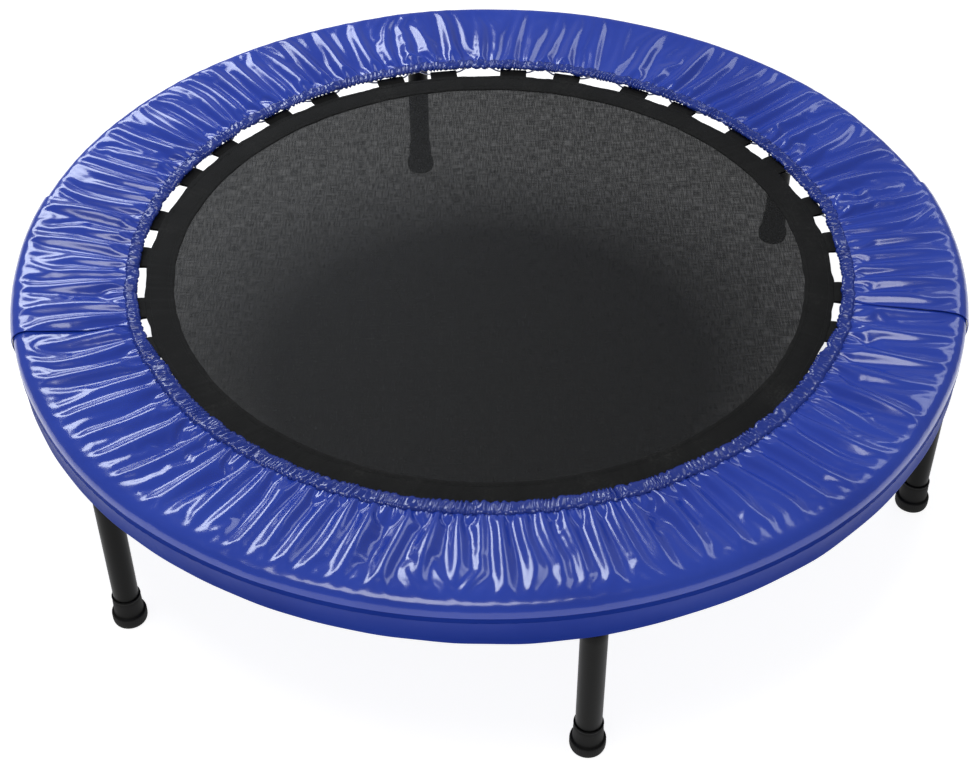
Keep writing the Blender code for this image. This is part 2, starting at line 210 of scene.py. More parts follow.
# Unevenness, each as a size, a seed, and its slowest and fastest number of waves round the ring.
SEAM_UNEVEN = (0.0007, 3, 4, 26)
TUNNEL_UNEVEN = (0.0005, 33, 30, 90)
SKIRT_UNEVEN = ((0.0005, 21, 3, 14), (0.00022, 22, 20, 60))
SKIRT_PUCKERS = (0.00012, 23, 150, 420)
MAT_RIPPLE = (0.00012, 41, 20, 60)
BAND_UNEVEN = (0.0002, 43, 20, 90)
BAND_CREASE = (0.00014, 44, 90, 300)

# Where the tunnel seam is pulled outward: angle and half width in degrees, and how far.
SEAM_PULLS = ((12.0, 3.2, 0.0030), (103.0, 3.6, 0.0030))

# Stretches of the front, as a middle, a half width in degrees and how steeply they end: where the
# tunnel is pulled in over the mat's border, and where the rim stands out over the skirt.
FRONT_TUCK = (271.0, 74.0, 14.0)
FRONT_PUSH = (268.0, 92.0, 1.6)

# Spare width that the gathers hold, how much it varies round the ring, and the calmer stretches:
# the share they take off, their middle and their half width in degrees.
GATHER_SHARE = 0.81
GATHER_SPREAD = 0.10
CALM_STRETCHES = ((0.50, 80.0, 54.0), (0.16, 0.0, 60.0), (0.20, 180.0, 50.0))

# Each cover panel: its name, where it starts and ends at the inner edge and at the rim in degrees,
# and how far it stands proud of the front and back panels.
PANELS = (
    ("front", (196.5, 349.0), (195.5, 347.5), 0.0),
    ("right", (347.8, 373.0), (345.6, 373.0), 0.0022),
    ("back", (371.5, 532.0), (371.5, 531.5), 0.0),
    ("left", (529.9, 558.7), (529.9, 556.8), 0.0022),
)

# Below this height the vinyl at the rim has a satin face, its blue darkened as painted shade.
SATIN_HEIGHT = 0.2165

# How far from the seam the gathers reach their full height, where they run out just short of the
# rim, and the room that the cloth has round its path: everywhere, and more up to where they run out.
FOLD_START_REACH = 0.020
FOLD_END_RADIUS = 0.4862
FOLD_END_REACH = 0.034
LEAST_ROOM = 0.0002
SEAM_ROOM = 0.0010
FOLD_DEPTH = 0.0036
FOLD_RISE = 0.0044

# The gathers' starting shape: spacing, its spread, shortest and longest reach, and steepness.
FOLD_SETS = (
    (0.0240, 0.48, 0.084, 0.118, 0.55),
    (0.0180, 0.35, 0.034, 0.086, 0.14),
    (0.0090, 0.35, 0.010, 0.040, 0.28),
)

# Soft hollows between the seam and the top of the frame tube.
HOLLOW_DEPTH = 0.0009
HOLLOW_REACH = 0.100

# Cloth solver for the gathered cover.
COARSE_GRID = (40, 960)
FINE_GRID = (56, 1920)
COARSE_STEPS = 110
FINE_STEPS = 70
DAMPING = 0.94
BENDING = 0.20
STRETCH_PULL = 0.9
SHEAR_PULL = 0.25
FLATTEN_PULL = 0.5
SEWN_PLAY = 0.0006
TINY = 1e-6

# Studio. The floor glows, dimmed by a painted shadow that grows from its start to its end, going out from
# its place.
WORLD_STRENGTH = 0.26
FLOOR_HALF_SIZE = 9.0
FLOOR_PAINTED_SHADOW_PLACE = (0.0, 0.07, 0.0)
FLOOR_PAINTED_SHADOW_START = 0.25
FLOOR_PAINTED_SHADOW_END = 0.42
FLOOR_GLOW_PAINTED_SHADOW_TO_FULL = (0.06, 0.90)

# Each light's name, place, target, size, energy and colour.
LIGHTS = (
    ("key_left_back", (-0.84, 1.36, 1.27), (-0.4, 0.0, 0.2), (0.70, 0.62), 9.9, (0.87, 0.93, 1.0)),
    ("right_back", (1.15, 1.70, 1.85), (0.3, 0.0, 0.2), (0.8, 0.8), 5.0, (0.87, 0.93, 1.0)),
    ("overhead", (-0.5, -0.55, 3.2), (0.0, 0.0, 0.2), (1.4, 1.4), 34.0, (1.0, 1.0, 1.0)),
)


def polar(radius, degrees, height):
    """World points from a radius, an angle in degrees and a height, each a number or an array."""
    angle = np.radians(degrees)
    parts = np.broadcast_arrays(radius * np.cos(angle), radius * np.sin(angle), height)
    return np.stack(parts, axis=-1)


def wander(radians, seed, slowest, fastest, count=8):
    """Smooth noise round the ring, mostly between -1 and 1, that closes on itself."""
    draw = np.random.default_rng(seed)
    total = np.zeros_like(radians)
    for _ in range(count):
        frequency = draw.integers(slowest, fastest + 1)
        total += np.cos(frequency * radians + draw.uniform(0.0, 2.0 * math.pi))
    return total / math.sqrt(count)


def uneven(radians, size, seed, slowest, fastest):
    """Noise of a given size round the ring."""
    return size * wander(radians, seed, slowest, fastest)


def ease(value):
    """Smooth step from 0 to 1."""
    value = np.clip(value, 0.0, 1.0)
    return value * value * (3.0 - 2.0 * value)


def circle(count):
    """Evenly spaced angles of a full turn, in radians."""
    return 2.0 * math.pi * np.arange(count) / count


def degrees_round(count):
    """Evenly spaced angles of a full turn, in degrees."""
    return 360.0 * np.arange(count) / count


def at_angle(local, degrees):
    """Points given as (outward, sideways, height), turned to an angle round the ring."""
    local = np.asarray(local, float)
    outward = polar(1.0, degrees, 0.0)
    tangent = polar(1.0, degrees + 90.0, 0.0)
    points = local[..., 0:1] * outward + local[..., 1:2] * tangent
    points[..., 2] += local[..., 2]
    return points


class Shape:
    """Collects points and faces for one mesh."""

    def __init__(self):
        self.points = []
        self.faces = []
        self.count = 0

    def add(self, points, faces):
        points = np.asarray(points, float).reshape(-1, 3)
        start = self.count
        self.points.append(points)
        for face in faces:
            self.faces.append(tuple(int(index) + start for index in face))
        self.count += len(points)

    def loft(self, sections, closed=False):
        """Closed outlines joined one after the other, capped at both ends unless closed."""
        rows, sides = sections.shape[:2]
        faces = grid_faces(rows, sides, closed, True).tolist()
        if not closed:
            faces.append(range(sides - 1, -1, -1))
            faces.append(range((rows - 1) * sides, rows * sides))
        self.add(sections, faces)

    def tube(self, path, radius, sides, closed=False):
        """Round bar along a path, with one radius or one per point."""
        path = np.asarray(path, float)
        radii = np.broadcast_to(radius, len(path))
        across, above = carried_frames(path, closed)
        angles = circle(sides)
        ring = (np.cos(angles)[None, :, None] * across[:, None, :]
                + np.sin(angles)[None, :, None] * above[:, None, :])
        self.loft(path[:, None, :] + ring * radii[:, None, None], closed)

    def lathe(self, outline, centre, sides, ripple=None):
        """Turns a (radius, height) outline, from axis to axis, round a vertical axis."""
        outline = np.asarray(outline, float)
        angles = circle(sides)
        radii = np.repeat(outline[1:-1, 0][:, None], sides, axis=1)
        heights = np.repeat(outline[1:-1, 1][:, None], sides, axis=1)
        if ripple is not None:
            radii = radii + ripple(radii, heights, angles[None, :])
        x, y = centre[:2]
        rings = np.stack((x + radii * np.cos(angles), y + radii * np.sin(angles), heights), axis=-1)
        self.closed_rings(rings, (x, y, outline[0][1]), (x, y, outline[-1][1]))

    def closed_rings(self, rings, first, last):
        """Rings joined one after the other, with a point that closes each end."""
        rows, sides = rings.shape[:2]
        faces = (grid_faces(rows, sides, False, True) + 1).tolist()
        end = rows * sides + 1
        for side in range(sides):
            beside = (side + 1) % sides
            faces.append((0, 1 + beside, 1 + side))
            faces.append((end, end - sides + side, end - sides + beside))
        self.add([first, *rings.reshape(-1, 3), last], faces)

    def make(self, name, finish, smooth_angle=40.0, outward=True):
        """The finished object, with its normals outward."""
        mesh = bpy.data.meshes.new(name)
        mesh.from_pydata(np.concatenate(self.points).tolist(), [], self.faces)
        mesh.update()
        if outward:
            turn_outward(mesh)
        mesh.shade_smooth()
        if smooth_angle is not None:
            mesh.set_sharp_from_angle(angle=math.radians(smooth_angle))
        mesh.materials.append(finish)
        item = bpy.data.objects.new(name, mesh)
        bpy.context.scene.collection.objects.link(item)
        return item


def turn_outward(mesh):
    work = bmesh.new()
    work.from_mesh(mesh)
    bmesh.ops.recalc_face_normals(work, faces=work.faces)
    work.to_mesh(mesh)
    work.free()


def grid_faces(rows, columns, wrap_rows, wrap_columns):
    row = np.arange(rows if wrap_rows else rows - 1)[:, None]
    column = np.arange(columns if wrap_columns else columns - 1)[None, :]
    next_row = (row + 1) % rows
    next_column = (column + 1) % columns
    corners = (row * columns + column, row * columns + next_column,
               next_row * columns + next_column, next_row * columns + column)
    return np.stack(np.broadcast_arrays(*corners), axis=-1).reshape(-1, 4)


def unit(vectors):
    return vectors / (np.linalg.norm(vectors, axis=-1, keepdims=True) + 1e-12)


def carried_frames(path, closed):
    """Two directions square to the path at each point, carried along without twisting."""
    if closed:
        along = unit(np.roll(path, -1, axis=0) - np.roll(path, 1, axis=0))
    else:
        along = unit(np.gradient(path, axis=0))
    helper = np.array((0.0, 0.0, 1.0)) if abs(along[0][2]) < 0.9 else np.array((1.0, 0.0, 0.0))
    across = [unit(np.cross(along[0], helper))]
    for direction in along[1:]:
        carried = across[-1] - direction * np.dot(across[-1], direction)
        across.append(unit(carried))
    across = np.array(across)
    return across, np.cross(along, across)


def sheet_shape(points, thickness, wrap=False):
    """A closed sheet with the given grid as its outer side and a copy of it, turned over, inside."""
    rows, columns = points.shape[:2]
    down = np.gradient(points, axis=0)
    if wrap:
        along = np.roll(points, -1, axis=1) - np.roll(points, 1, axis=1)
    else:
        along = np.gradient(points, axis=1)
    inner = points - unit(np.cross(down, along)) * thickness
    count = rows * columns
    outer_faces = grid_faces(rows, columns, False, wrap)
    index = np.arange(count).reshape(rows, columns)
    if wrap:
        rims = (index[0], index[-1, ::-1])
    else:
        rims = (np.concatenate((index[0, :-1], index[:-1, -1], index[-1, :0:-1], index[:0:-1, 0])),)
    faces = [outer_faces, outer_faces[:, ::-1] + count]
    for rim in rims:
        beside = np.roll(rim, -1)
        faces.append(np.stack((rim, rim + count, beside + count, beside), axis=1))
    shape = Shape()
    shape.add(np.concatenate((points.reshape(-1, 3), inner.reshape(-1, 3))), np.concatenate(faces))
    return shape


# ---------------------------------------------------------------- materials


class Finish:
    """A node material whose textures read the piece's own coordinates."""

    def __init__(self, name, colour, roughness, **settings):
        self.material = bpy.data.materials.new(name)
        self.material.use_nodes = True
        self.tree = self.material.node_tree
        self.place = self.node("TexCoord").outputs["Object"]
        self.set(Base_Color=(*colour, 1.0), Roughness=roughness, **settings)

    def fill(self, node, settings):
        """Gives sockets, named with an underscore for each space, a value or another's output."""
        for name, value in settings.items():
            socket = node.inputs[name.replace("_", " ")]
            if isinstance(value, bpy.types.NodeSocket):
                self.tree.links.new(value, socket)
            else:
                socket.default_value = value
        return node

    def set(self, **settings):
        self.fill(self.tree.nodes["Principled BSDF"], settings)

    def node(self, kind, **settings):
        return self.fill(self.tree.nodes.new("ShaderNode" + kind), settings)

    def noise(self, scale, detail=2.0, roughness=0.5, stretch=None):
        place = self.place
        if stretch:
            place = self.node("Mapping", Vector=place, Scale=stretch).outputs["Vector"]
        node = self.node("TexNoise", Vector=place, Scale=scale, Detail=detail, Roughness=roughness)
        return node.outputs["Fac"]

    def wave(self, scale, direction, kind="BANDS", distortion=0.0):
        node = self.node("TexWave", Vector=self.place, Scale=scale, Distortion=distortion)
        node.wave_type = kind
        if kind == "BANDS":
            node.bands_direction = direction
        else:
            node.rings_direction = direction
        return node.outputs["Fac"]

    def span(self, value, low, high, start=0.0, end=1.0):
        """The value's range from start to end, mapped to low and high."""
        node = self.node("MapRange", Value=value, From_Min=start, From_Max=end, To_Min=low, To_Max=high)
        return node.outputs["Result"]

    def combine(self, operation, first, second):
        node = self.node("Math", Value=first)
        node.operation = operation
        self.tree.links.new(second, node.inputs[1])
        return node.outputs["Value"]

    def tint(self, value, *stops):
        """Base colour from a ramp of (position, colour) stops."""
        node = self.node("ValToRGB", Fac=value)
        elements = node.color_ramp.elements
        while len(elements) < len(stops):
            elements.new(0.5)
        for element, (position, colour) in zip(elements, stops):
            element.position = position
            element.color = (*colour, 1.0)
        self.set(Base_Color=node.outputs["Color"])

    def bump(self, *layers):
        """Bump layers, each a height, its distance in metres and its strength."""
        below = {}
        for height, distance, strength in layers:
            node = self.node("Bump", Height=height, Distance=distance, Strength=strength, **below)
            below = {"Normal": node.outputs["Normal"]}
        self.set(**below)


def vinyl_finish(name, roughness, coat, specular, depth):
    """Coated fabric: thin clear skin over saturated blue, with a faint woven backing; a depth below 1
    darkens the blue as painted shade.
    """
    # A depth below 1 gives a darker copy of the same vinyl: painted shade.
    tones = [tuple(depth * part for part in tone) for tone in
             ((0.015, 0.050, 0.430), (0.019, 0.061, 0.490), (0.024, 0.072, 0.530))]
    finish = Finish(name, tones[1], roughness[0], Coat_Weight=coat, Coat_Roughness=0.075,
                    Specular_IOR_Level=specular)
    finish.tint(finish.noise(9.0, 3.0), *zip((0.30, 0.55, 0.80), tones))
    finish.set(Roughness=finish.span(finish.noise(38.0, 4.0), *roughness))
    threads = finish.combine("MULTIPLY", finish.wave(420.0, "X"), finish.wave(420.0, "Y"))
    finish.bump((finish.noise(60.0, 3.0), 0.0012, 0.04), (threads, 0.0002, 0.03),
                (finish.noise(1500.0, 2.0), 0.0002, 0.03))
    return finish.material


def mesh_finish():
    """Woven black mesh: crossed threads with slubs, and pinholes between them."""
    finish = Finish("woven_mesh", (0.004, 0.004, 0.004), 0.52, Specular_IOR_Level=0.24)
    across = finish.wave(640.0, "X", distortion=0.5)
    along = finish.wave(640.0, "Y", distortion=0.5)
    slubs = finish.combine("ADD", finish.noise(72.0, 0.0, stretch=(1.0, 12.0, 1.0)),
                           finish.noise(72.0, 0.0, stretch=(12.0, 1.0, 1.0)))
    finish.tint(finish.span(slubs, 0.0, 1.0, 0.7, 1.35), (0.0, (0.0018, 0.0018, 0.0018)),
                (0.5, (0.003, 0.003, 0.0028)), (1.0, (0.008, 0.008, 0.0077)))
    finish.set(Roughness=finish.span(slubs, 0.46, 0.60, 0.6, 1.4))
    threads = finish.combine("MAXIMUM", across, along)
    cover = finish.span(slubs, 0.89, 0.727, 0.7, 1.35)
    finish.set(Alpha=finish.combine("ADD", cover, finish.span(threads, -0.10, 0.04)))
    finish.bump((slubs, 0.0006, 0.07), (threads, 0.0003, 0.3))
    return finish.material


def webbing_finish():
    """Flat black webbing: fine ribs along the tape, with dusty wear on the raised threads."""
    finish = Finish("black_webbing", (0.007, 0.007, 0.007), 0.72, Specular_IOR_Level=0.2,
                    Sheen_Weight=0.04, Sheen_Roughness=0.4)
    ribs = finish.wave(360.0, "Z", kind="RINGS", distortion=0.6)
    lint = finish.noise(420.0, 3.0)
    patches = finish.noise(26.0, 4.0)
    finish.tint(finish.combine("MULTIPLY", lint, patches), (0.10, (0.004, 0.004, 0.0039)),
                (0.30, (0.0078, 0.0078, 0.0075)), (0.48, (0.024, 0.024, 0.0225)))
    finish.set(Roughness=finish.span(lint, 0.62, 0.85))
    finish.bump((ribs, 0.0005, 0.35), (lint, 0.0006, 0.35))
    return finish.material


def thread_finish(name, colour):
    finish = Finish(name, colour, 0.6, Specular_IOR_Level=0.2)
    twist = finish.noise(2600.0, 2.0)
    finish.set(Roughness=finish.span(twist, 0.5, 0.75))
    finish.bump((twist, 0.0002, 0.4))
    return finish.material


def steel_finish():
    """Satin black powder coat with a faint orange-peel surface and rubbed patches."""
    finish = Finish("powder_coat", (0.0045, 0.0047, 0.0045), 0.38, Specular_IOR_Level=0.10)
    peel = finish.noise(650.0, 2.0)
    wear = finish.noise(22.0, 5.0, 0.6)
    finish.tint(wear, (0.35, (0.0026, 0.0028, 0.0026)), (0.60, (0.0036, 0.0038, 0.0036)),
                (0.82, (0.008, 0.008, 0.0077)))
    finish.set(Roughness=finish.span(wear, 0.30, 0.48))
    finish.bump((peel, 0.0004, 0.18), (finish.noise(120.0, 2.0), 0.0004, 0.08))
    return finish.material


def rubber_finish():
    finish = Finish("moulded_rubber", (0.006, 0.006, 0.006), 0.62, Specular_IOR_Level=0.15)
    dust = finish.noise(160.0, 5.0, 0.65)
    finish.tint(dust, (0.35, (0.006, 0.006, 0.006)), (0.65, (0.009, 0.009, 0.0087)),
                (0.85, (0.020, 0.020, 0.019)))
    finish.set(Roughness=finish.span(dust, 0.52, 0.76))
    finish.bump((dust, 0.0004, 0.25))
    return finish.material


def zinc_finish():
    finish = Finish("zinc_plate", (0.56, 0.57, 0.58), 0.28, Metallic=1.0)
    haze = finish.noise(240.0, 4.0)
    finish.tint(haze, (0.30, (0.36, 0.37, 0.38)), (0.60, (0.58, 0.59, 0.60)), (0.85, (0.70, 0.70, 0.68)))
    finish.set(Roughness=finish.span(haze, 0.22, 0.42))
    finish.bump((finish.noise(900.0, 2.0), 0.0002, 0.15))
    return finish.material


def floor_finish():
    """Glowing pale floor, its glow dimmed as a painted shadow where the trampoline stands over it."""
    finish = Finish("pale_floor_painted_shadow", (0.45, 0.45, 0.45), 0.75, Specular_IOR_Level=0.1,
                    Emission_Color=(1.0, 1.0, 1.0, 1.0))
    distance = finish.node("VectorMath", Vector=finish.place)
    distance.operation = "DISTANCE"
    distance.inputs[1].default_value = FLOOR_PAINTED_SHADOW_PLACE
    # Painted shadow: the glow falls from full to faint towards the place under the trampoline.
    glow = finish.span(distance.outputs["Value"], *FLOOR_GLOW_PAINTED_SHADOW_TO_FULL, FLOOR_PAINTED_SHADOW_START, FLOOR_PAINTED_SHADOW_END)
    finish.set(Emission_Strength=glow)
    finish.tint(finish.noise(5.0), (0.3, (0.445, 0.445, 0.445)), (0.7, (0.455, 0.455, 0.455)))
    return finish.material


# ---------------------------------------------------------------- gathered cover


def cover_path(count):
    """Evenly spaced (radius, height) points from the tunnel seam out and over the frame tube."""
    crest = RING_HEIGHT + COVER_TUBE_RADIUS
    points = [(SEAM_RADIUS, SEAM_HEIGHT)]
    for radius in np.linspace(SEAM_RADIUS + 0.003, RING_RADIUS, 20):
        points.append((radius, crest - (RING_RADIUS - radius) * COVER_SLOPE))
    for degrees in np.linspace(90.0, 0.0, 31)[1:]:
        angle = math.radians(degrees)
        points.append((RING_RADIUS + RIM_REACH * max(math.cos(angle), 0.0) ** RIM_SQUARENESS,
                       RING_HEIGHT + COVER_TUBE_RADIUS * math.sin(angle) ** RIM_SQUARENESS))
    points.append((RIM_SEAM_RADIUS, RIM_SEAM_HEIGHT))
    points = np.array(points)
    steps = np.hypot(*np.diff(points, axis=0).T)
    travelled = np.concatenate(((0.0,), np.cumsum(steps)))
    even = np.linspace(0.0, travelled[-1], count)
    return even, np.interp(even, travelled, points[:, 0]), np.interp(even, travelled, points[:, 1])


def seam_line(angle):
    """Radius of the tunnel seam round the ring: a little uneven, and pulled out at two places."""
    tuck = TUNNEL_FRONT_SHIFT * plateau(angle, *FRONT_TUCK)
    radius = SEAM_RADIUS + uneven(angle, *SEAM_UNEVEN) - tuck
    for degrees, width, pull in SEAM_PULLS:
        radius = radius + pull * np.exp(-(degrees_apart(angle, degrees) / width) ** 2)
    return radius


def degrees_apart(angle, degrees):
    """Signed degrees from a place on the ring to angles in radians, the short way round."""
    return (np.degrees(angle) - degrees + 180.0) % 360.0 - 180.0


def window(angle, middle, half_width):
    """1 at an angle in degrees, falling smoothly to 0 on both sides."""
    return ease(1.0 - np.abs(degrees_apart(angle, middle)) / half_width)


def plateau(angle, middle, half_width, steepness):
    """1 round an angle in degrees, with a steeper fall to 0 on both sides."""
    return np.clip(steepness * window(angle, middle, half_width), 0.0, 1.0)


def gather_share(angle):
    """How much spare width the gathers hold round the ring; 1 is a straight strip of vinyl."""
    calmer = sum(share * window(angle, *stretch) for share, *stretch in CALM_STRETCHES)
    return GATHER_SHARE + GATHER_SPREAD * wander(angle, 11, 3, 22) - calmer


def rim_push(angle):
    """How far the rim stands out over the skirt: the cover sits a little forward on its frame."""
    return FRONT_REACH * plateau(angle, *FRONT_PUSH)


def relaxed(first, second, rest, share):
    """Two arrays of points, moved towards their rest distance."""
    apart = second - first
    length = np.sqrt(np.einsum("...k,...k->...", apart, apart)) + np.float32(1e-9)
    move = (np.float32(0.5 * share) * (length - rest) / length)[..., None] * apart
    return first + move, second - move


class Cloth:
    """Position-based cloth ring between the tunnel seam and the rim seam."""

    def __init__(self, grid):
        self.rows, self.columns = grid
        self.travel, self.radius, self.height = cover_path(self.rows)
        self.angle = circle(self.columns)
        share = gather_share(self.angle)[None, :]
        spare = np.clip(FOLD_END_RADIUS - self.radius, 0.0, None)[:, None]
        width = self.radius[:, None] + share * spare
        self.rest_round = (2.0 * math.pi / self.columns * width).astype(np.float32)
        self.rest_across = np.float32(self.travel[1])
        middle = (self.rest_round[1:] + self.rest_round[:-1]) / 2.0
        self.rest_diagonal = np.sqrt(self.rest_across ** 2 + middle ** 2)
        self.points = self.nominal()
        self.rim = self.points[-1].copy()
        self.seam = seam_line(self.angle).astype(np.float32)
        rise = np.clip(self.travel / FOLD_START_REACH, 0.0, 1.0)
        fall = np.clip((FOLD_END_RADIUS - self.radius) / FOLD_END_REACH, 0.0, 1.0)
        room = LEAST_ROOM + (SEAM_ROOM + FOLD_DEPTH * rise) * fall
        self.low = (self.height - room)[:, None].astype(np.float32)
        room = LEAST_ROOM + (SEAM_ROOM + FOLD_RISE * rise) * fall
        self.high = (self.height + room)[:, None].astype(np.float32)

    def nominal(self):
        flat = np.empty((self.rows, self.columns, 3), np.float32)
        flat[..., 0] = self.radius[:, None] * np.cos(self.angle)
        flat[..., 1] = self.radius[:, None] * np.sin(self.angle)
        flat[..., 2] = self.height[:, None]
        return flat

    def fold(self, seed):
        """Starting shape: cones that narrow towards the rim, with shorter tucks between them."""
        draw = np.random.default_rng(seed)
        lean = 0.14 * wander(self.angle, seed + 1, 3, 16)
        spare = gather_share(self.angle)
        for spacing, spread, nearest, furthest, steepness in FOLD_SETS:
            place = 0.0
            while place < 2.0 * math.pi:
                width = spacing * draw.uniform(1.0 - spread, 1.0 + spread)
                middle = place + 0.5 * width / SEAM_RADIUS
                place += width / SEAM_RADIUS
                left = np.clip(1.0 - self.travel / draw.uniform(nearest, furthest), 0.0, 1.0)
                half = (0.5 * width * left ** 0.6)[:, None] + 1e-5
                column = int(middle / (2.0 * math.pi) * self.columns) % self.columns
                bent = (lean[column] + draw.normal(0.0, 0.03)) * self.travel
                apart = (self.angle - middle + math.pi) % (2.0 * math.pi) - math.pi
                across = (apart[None, :] * self.radius[:, None] - bent[:, None]) / half
                hump = np.where(np.abs(across) < 1.0, 0.5 + 0.5 * np.cos(math.pi * across), 0.0)
                rise = steepness * spare[column] * draw.uniform(0.5, 1.4) * half
                rise = rise * (hump - 0.40 * (half > 2e-5))
                self.points[..., 2] += rise.astype(np.float32) * (np.abs(across) < 1.0)

    def refine(self, coarse, seed):
        """Takes over a coarser cloth's shape."""
        row = np.linspace(0.0, coarse.rows - 1.0, self.rows)
        low_row = np.clip(row.astype(int), 0, coarse.rows - 2)
        share = (row - low_row)[:, None, None]
        rows = coarse.points[low_row] * (1.0 - share) + coarse.points[low_row + 1] * share
        column = np.arange(self.columns) * coarse.columns / self.columns
        self.points[:] = sampled(rows, np.broadcast_to(column, (self.rows, self.columns)))
        draw = np.random.default_rng(seed)
        self.points[..., 2] += draw.normal(0.0, 0.00010, self.points.shape[:2])

    def settle(self, steps):
        before = self.points.copy()
        for _ in range(steps):
            move = (self.points - before) * np.float32(DAMPING)
            before = self.points.copy()
            self.points += move
            for _ in range(2):
                self.pull_edges()
                self.keep_inside()

    def pull_edges(self):
        """One round of stretch, shear and bending, each over sets of edges that share no point."""
        p = self.points
        columns = np.arange(self.columns)
        rows = np.arange(self.rows)
        for part in (0, 1):
            a = columns[part::2]
            b = (a + 1) % self.columns
            p[:, a], p[:, b] = relaxed(p[:, a], p[:, b], self.rest_round[:, a], STRETCH_PULL)
        for part in (0, 1):
            a = rows[part:-1:2]
            p[a], p[a + 1] = relaxed(p[a], p[a + 1], self.rest_across, STRETCH_PULL)
        for part in (0, 1):
            a = rows[part:-1:2]
            for shift in (-1, 1):
                beside = np.roll(p[a + 1], shift, axis=1)
                first, second = relaxed(p[a], beside, self.rest_diagonal[a], SHEAR_PULL)
                p[a] = first
                p[a + 1] = np.roll(second, -shift, axis=1)
        for part in (columns % 4 < 2, columns % 4 >= 2):
            a = columns[part]
            b = (a + 2) % self.columns
            p[:, a], p[:, b] = relaxed(p[:, a], p[:, b], 2.0 * self.rest_round[:, a], BENDING)
        for part in (0, 2):
            a = rows[:-2][(rows[:-2] % 4 == part) | (rows[:-2] % 4 == part + 1)]
            p[a], p[a + 2] = relaxed(p[a], p[a + 2], 2.0 * self.rest_across, FLATTEN_PULL)

    def keep_inside(self):
        """Keeps the cloth near its path, off the frame tube, and sewn at both seams."""
        p = self.points
        np.clip(p[..., 2], self.low, self.high, out=p[..., 2])
        radius = np.hypot(p[..., 0], p[..., 1])
        sewn = np.clip(radius[0], self.seam - SEWN_PLAY, self.seam + SEWN_PLAY)
        p[0, :, :2] *= (sewn / radius[0])[:, None]
        radius[0] = sewn
        out = radius - RING_RADIUS
        up = p[..., 2] - RING_HEIGHT
        apart = np.hypot(out, up)
        closest = TUBE_RADIUS + COVER_THICKNESS + 0.0001
        inside = (apart < closest) & (radius > RING_RADIUS - TUBE_RADIUS)
        push = np.where(inside, closest / np.maximum(apart, TINY), 1.0).astype(np.float32)
        p[..., :2] *= ((RING_RADIUS + out * push) / radius)[..., None]
        p[..., 2] = RING_HEIGHT + up * push
        p[-1] = self.rim


def sampled(rows, column):
    """Points of each row at fractional columns, which wrap round the ring."""
    count = rows.shape[1]
    low = np.floor(column).astype(int)
    share = (column - low)[..., None]
    index = np.arange(len(rows))[:, None]
    return rows[index, low % count] * (1.0 - share) + rows[index, (low + 1) % count] * share


def gathered_cloth():
    """The settled cloth, smoothed, with soft hollows added and its front rim pushed out."""
    coarse = Cloth(COARSE_GRID)
    coarse.fold(5)
    coarse.settle(COARSE_STEPS)
    fine = Cloth(FINE_GRID)
    fine.refine(coarse, 9)
    fine.settle(FINE_STEPS)
    for _ in range(3):
        beside = np.roll(fine.points, 1, axis=1) + np.roll(fine.points, -1, axis=1)
        fine.points = 0.5 * fine.points + 0.25 * beside
    across = np.clip(fine.travel / HOLLOW_REACH, 0.0, 1.0)[:, None]
    hollows = np.sin(math.pi * across) ** 2 * wander(fine.angle, 61, 14, 56, 12)[None, :]
    hollows += np.sin(math.pi * across ** 2.2) * wander(fine.angle, 62, 20, 84, 12)[None, :]
    fine.points[..., 2] += (HOLLOW_DEPTH * hollows).astype(np.float32)
    radius = np.hypot(fine.points[..., 0], fine.points[..., 1])
    beyond = np.clip(radius - RING_RADIUS, 0.0, None) * rim_push(fine.angle) / RIM_REACH
    fine.points[..., :2] *= (1.0 + beyond / radius)[..., None].astype(np.float32)
    return fine


def panel_columns(cloth, inner, outer, rows):
    """Fractional columns of a panel whose end seams slant from the inner edge to the rim."""
    along = np.linspace(0.0, 1.0, rows)[:, None]
    start = inner[0] + (outer[0] - inner[0]) * along
    end = inner[1] + (outer[1] - inner[1]) * along
    count = int((inner[1] - inner[0]) / 360.0 * cloth.columns) + 1
    degrees = start + (end - start) * np.linspace(0.0, 1.0, count)[None, :]
    return degrees / 360.0 * cloth.columns, degrees


def path_normals(path):
    """Left-hand normals of a path of (radius, height) points."""
    along = unit(np.gradient(path, axis=0))
    return np.stack((-along[:, 1], along[:, 0]), axis=-1)


def flat_size(cloth, outer):
    """Width and length of a top panel's cut, and its area."""
    span = (outer[1] - outer[0]) / 360.0
    widths = cloth.rest_round.sum(axis=1) * span
    length = float(cloth.travel[-1])
    return float(widths.max()), length, float(widths.mean() * length)


def make_cover_tops(cloth, finish, satin_shaded_finish):
    made = {}
    # From this row on, the rim takes the satin finish, whose darker blue is painted shade.
    satin_shaded_row = int(np.argmax((cloth.radius > RING_RADIUS) & (cloth.height < SATIN_HEIGHT)))
    normals = path_normals(np.stack((cloth.radius, cloth.height), axis=-1))
    for side, inner, outer, proud in PANELS:
        column, degrees = panel_columns(cloth, inner, outer, cloth.rows)
        points = sampled(cloth.points, column)
        along = np.linspace(0.0, 1.0, cloth.rows)[:, None]
        lift = proud * (0.35 + 0.65 * ease(along / 0.6))
        points = points + polar(lift * normals[:, 0:1], degrees, lift * normals[:, 1:2])
        top = sheet_shape(points, COVER_THICKNESS).make("vinyl_top_" + side, finish, 80.0)
        top.data.materials.append(satin_shaded_finish)
        across = points.shape[1] - 1
        for index in range(across * satin_shaded_row, across * (cloth.rows - 1)):
            top.data.polygons[index].material_index = 1
        width, length, area = flat_size(cloth, outer)
        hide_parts("cover_top_" + side)
        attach(top, "frame")
        made[side] = (top, (width, length), area)
    return made


def skirt_wave(degrees):
    """Slight in and out of the hanging skirt."""
    return sum(uneven(np.radians(degrees), *noise) for noise in SKIRT_UNEVEN)


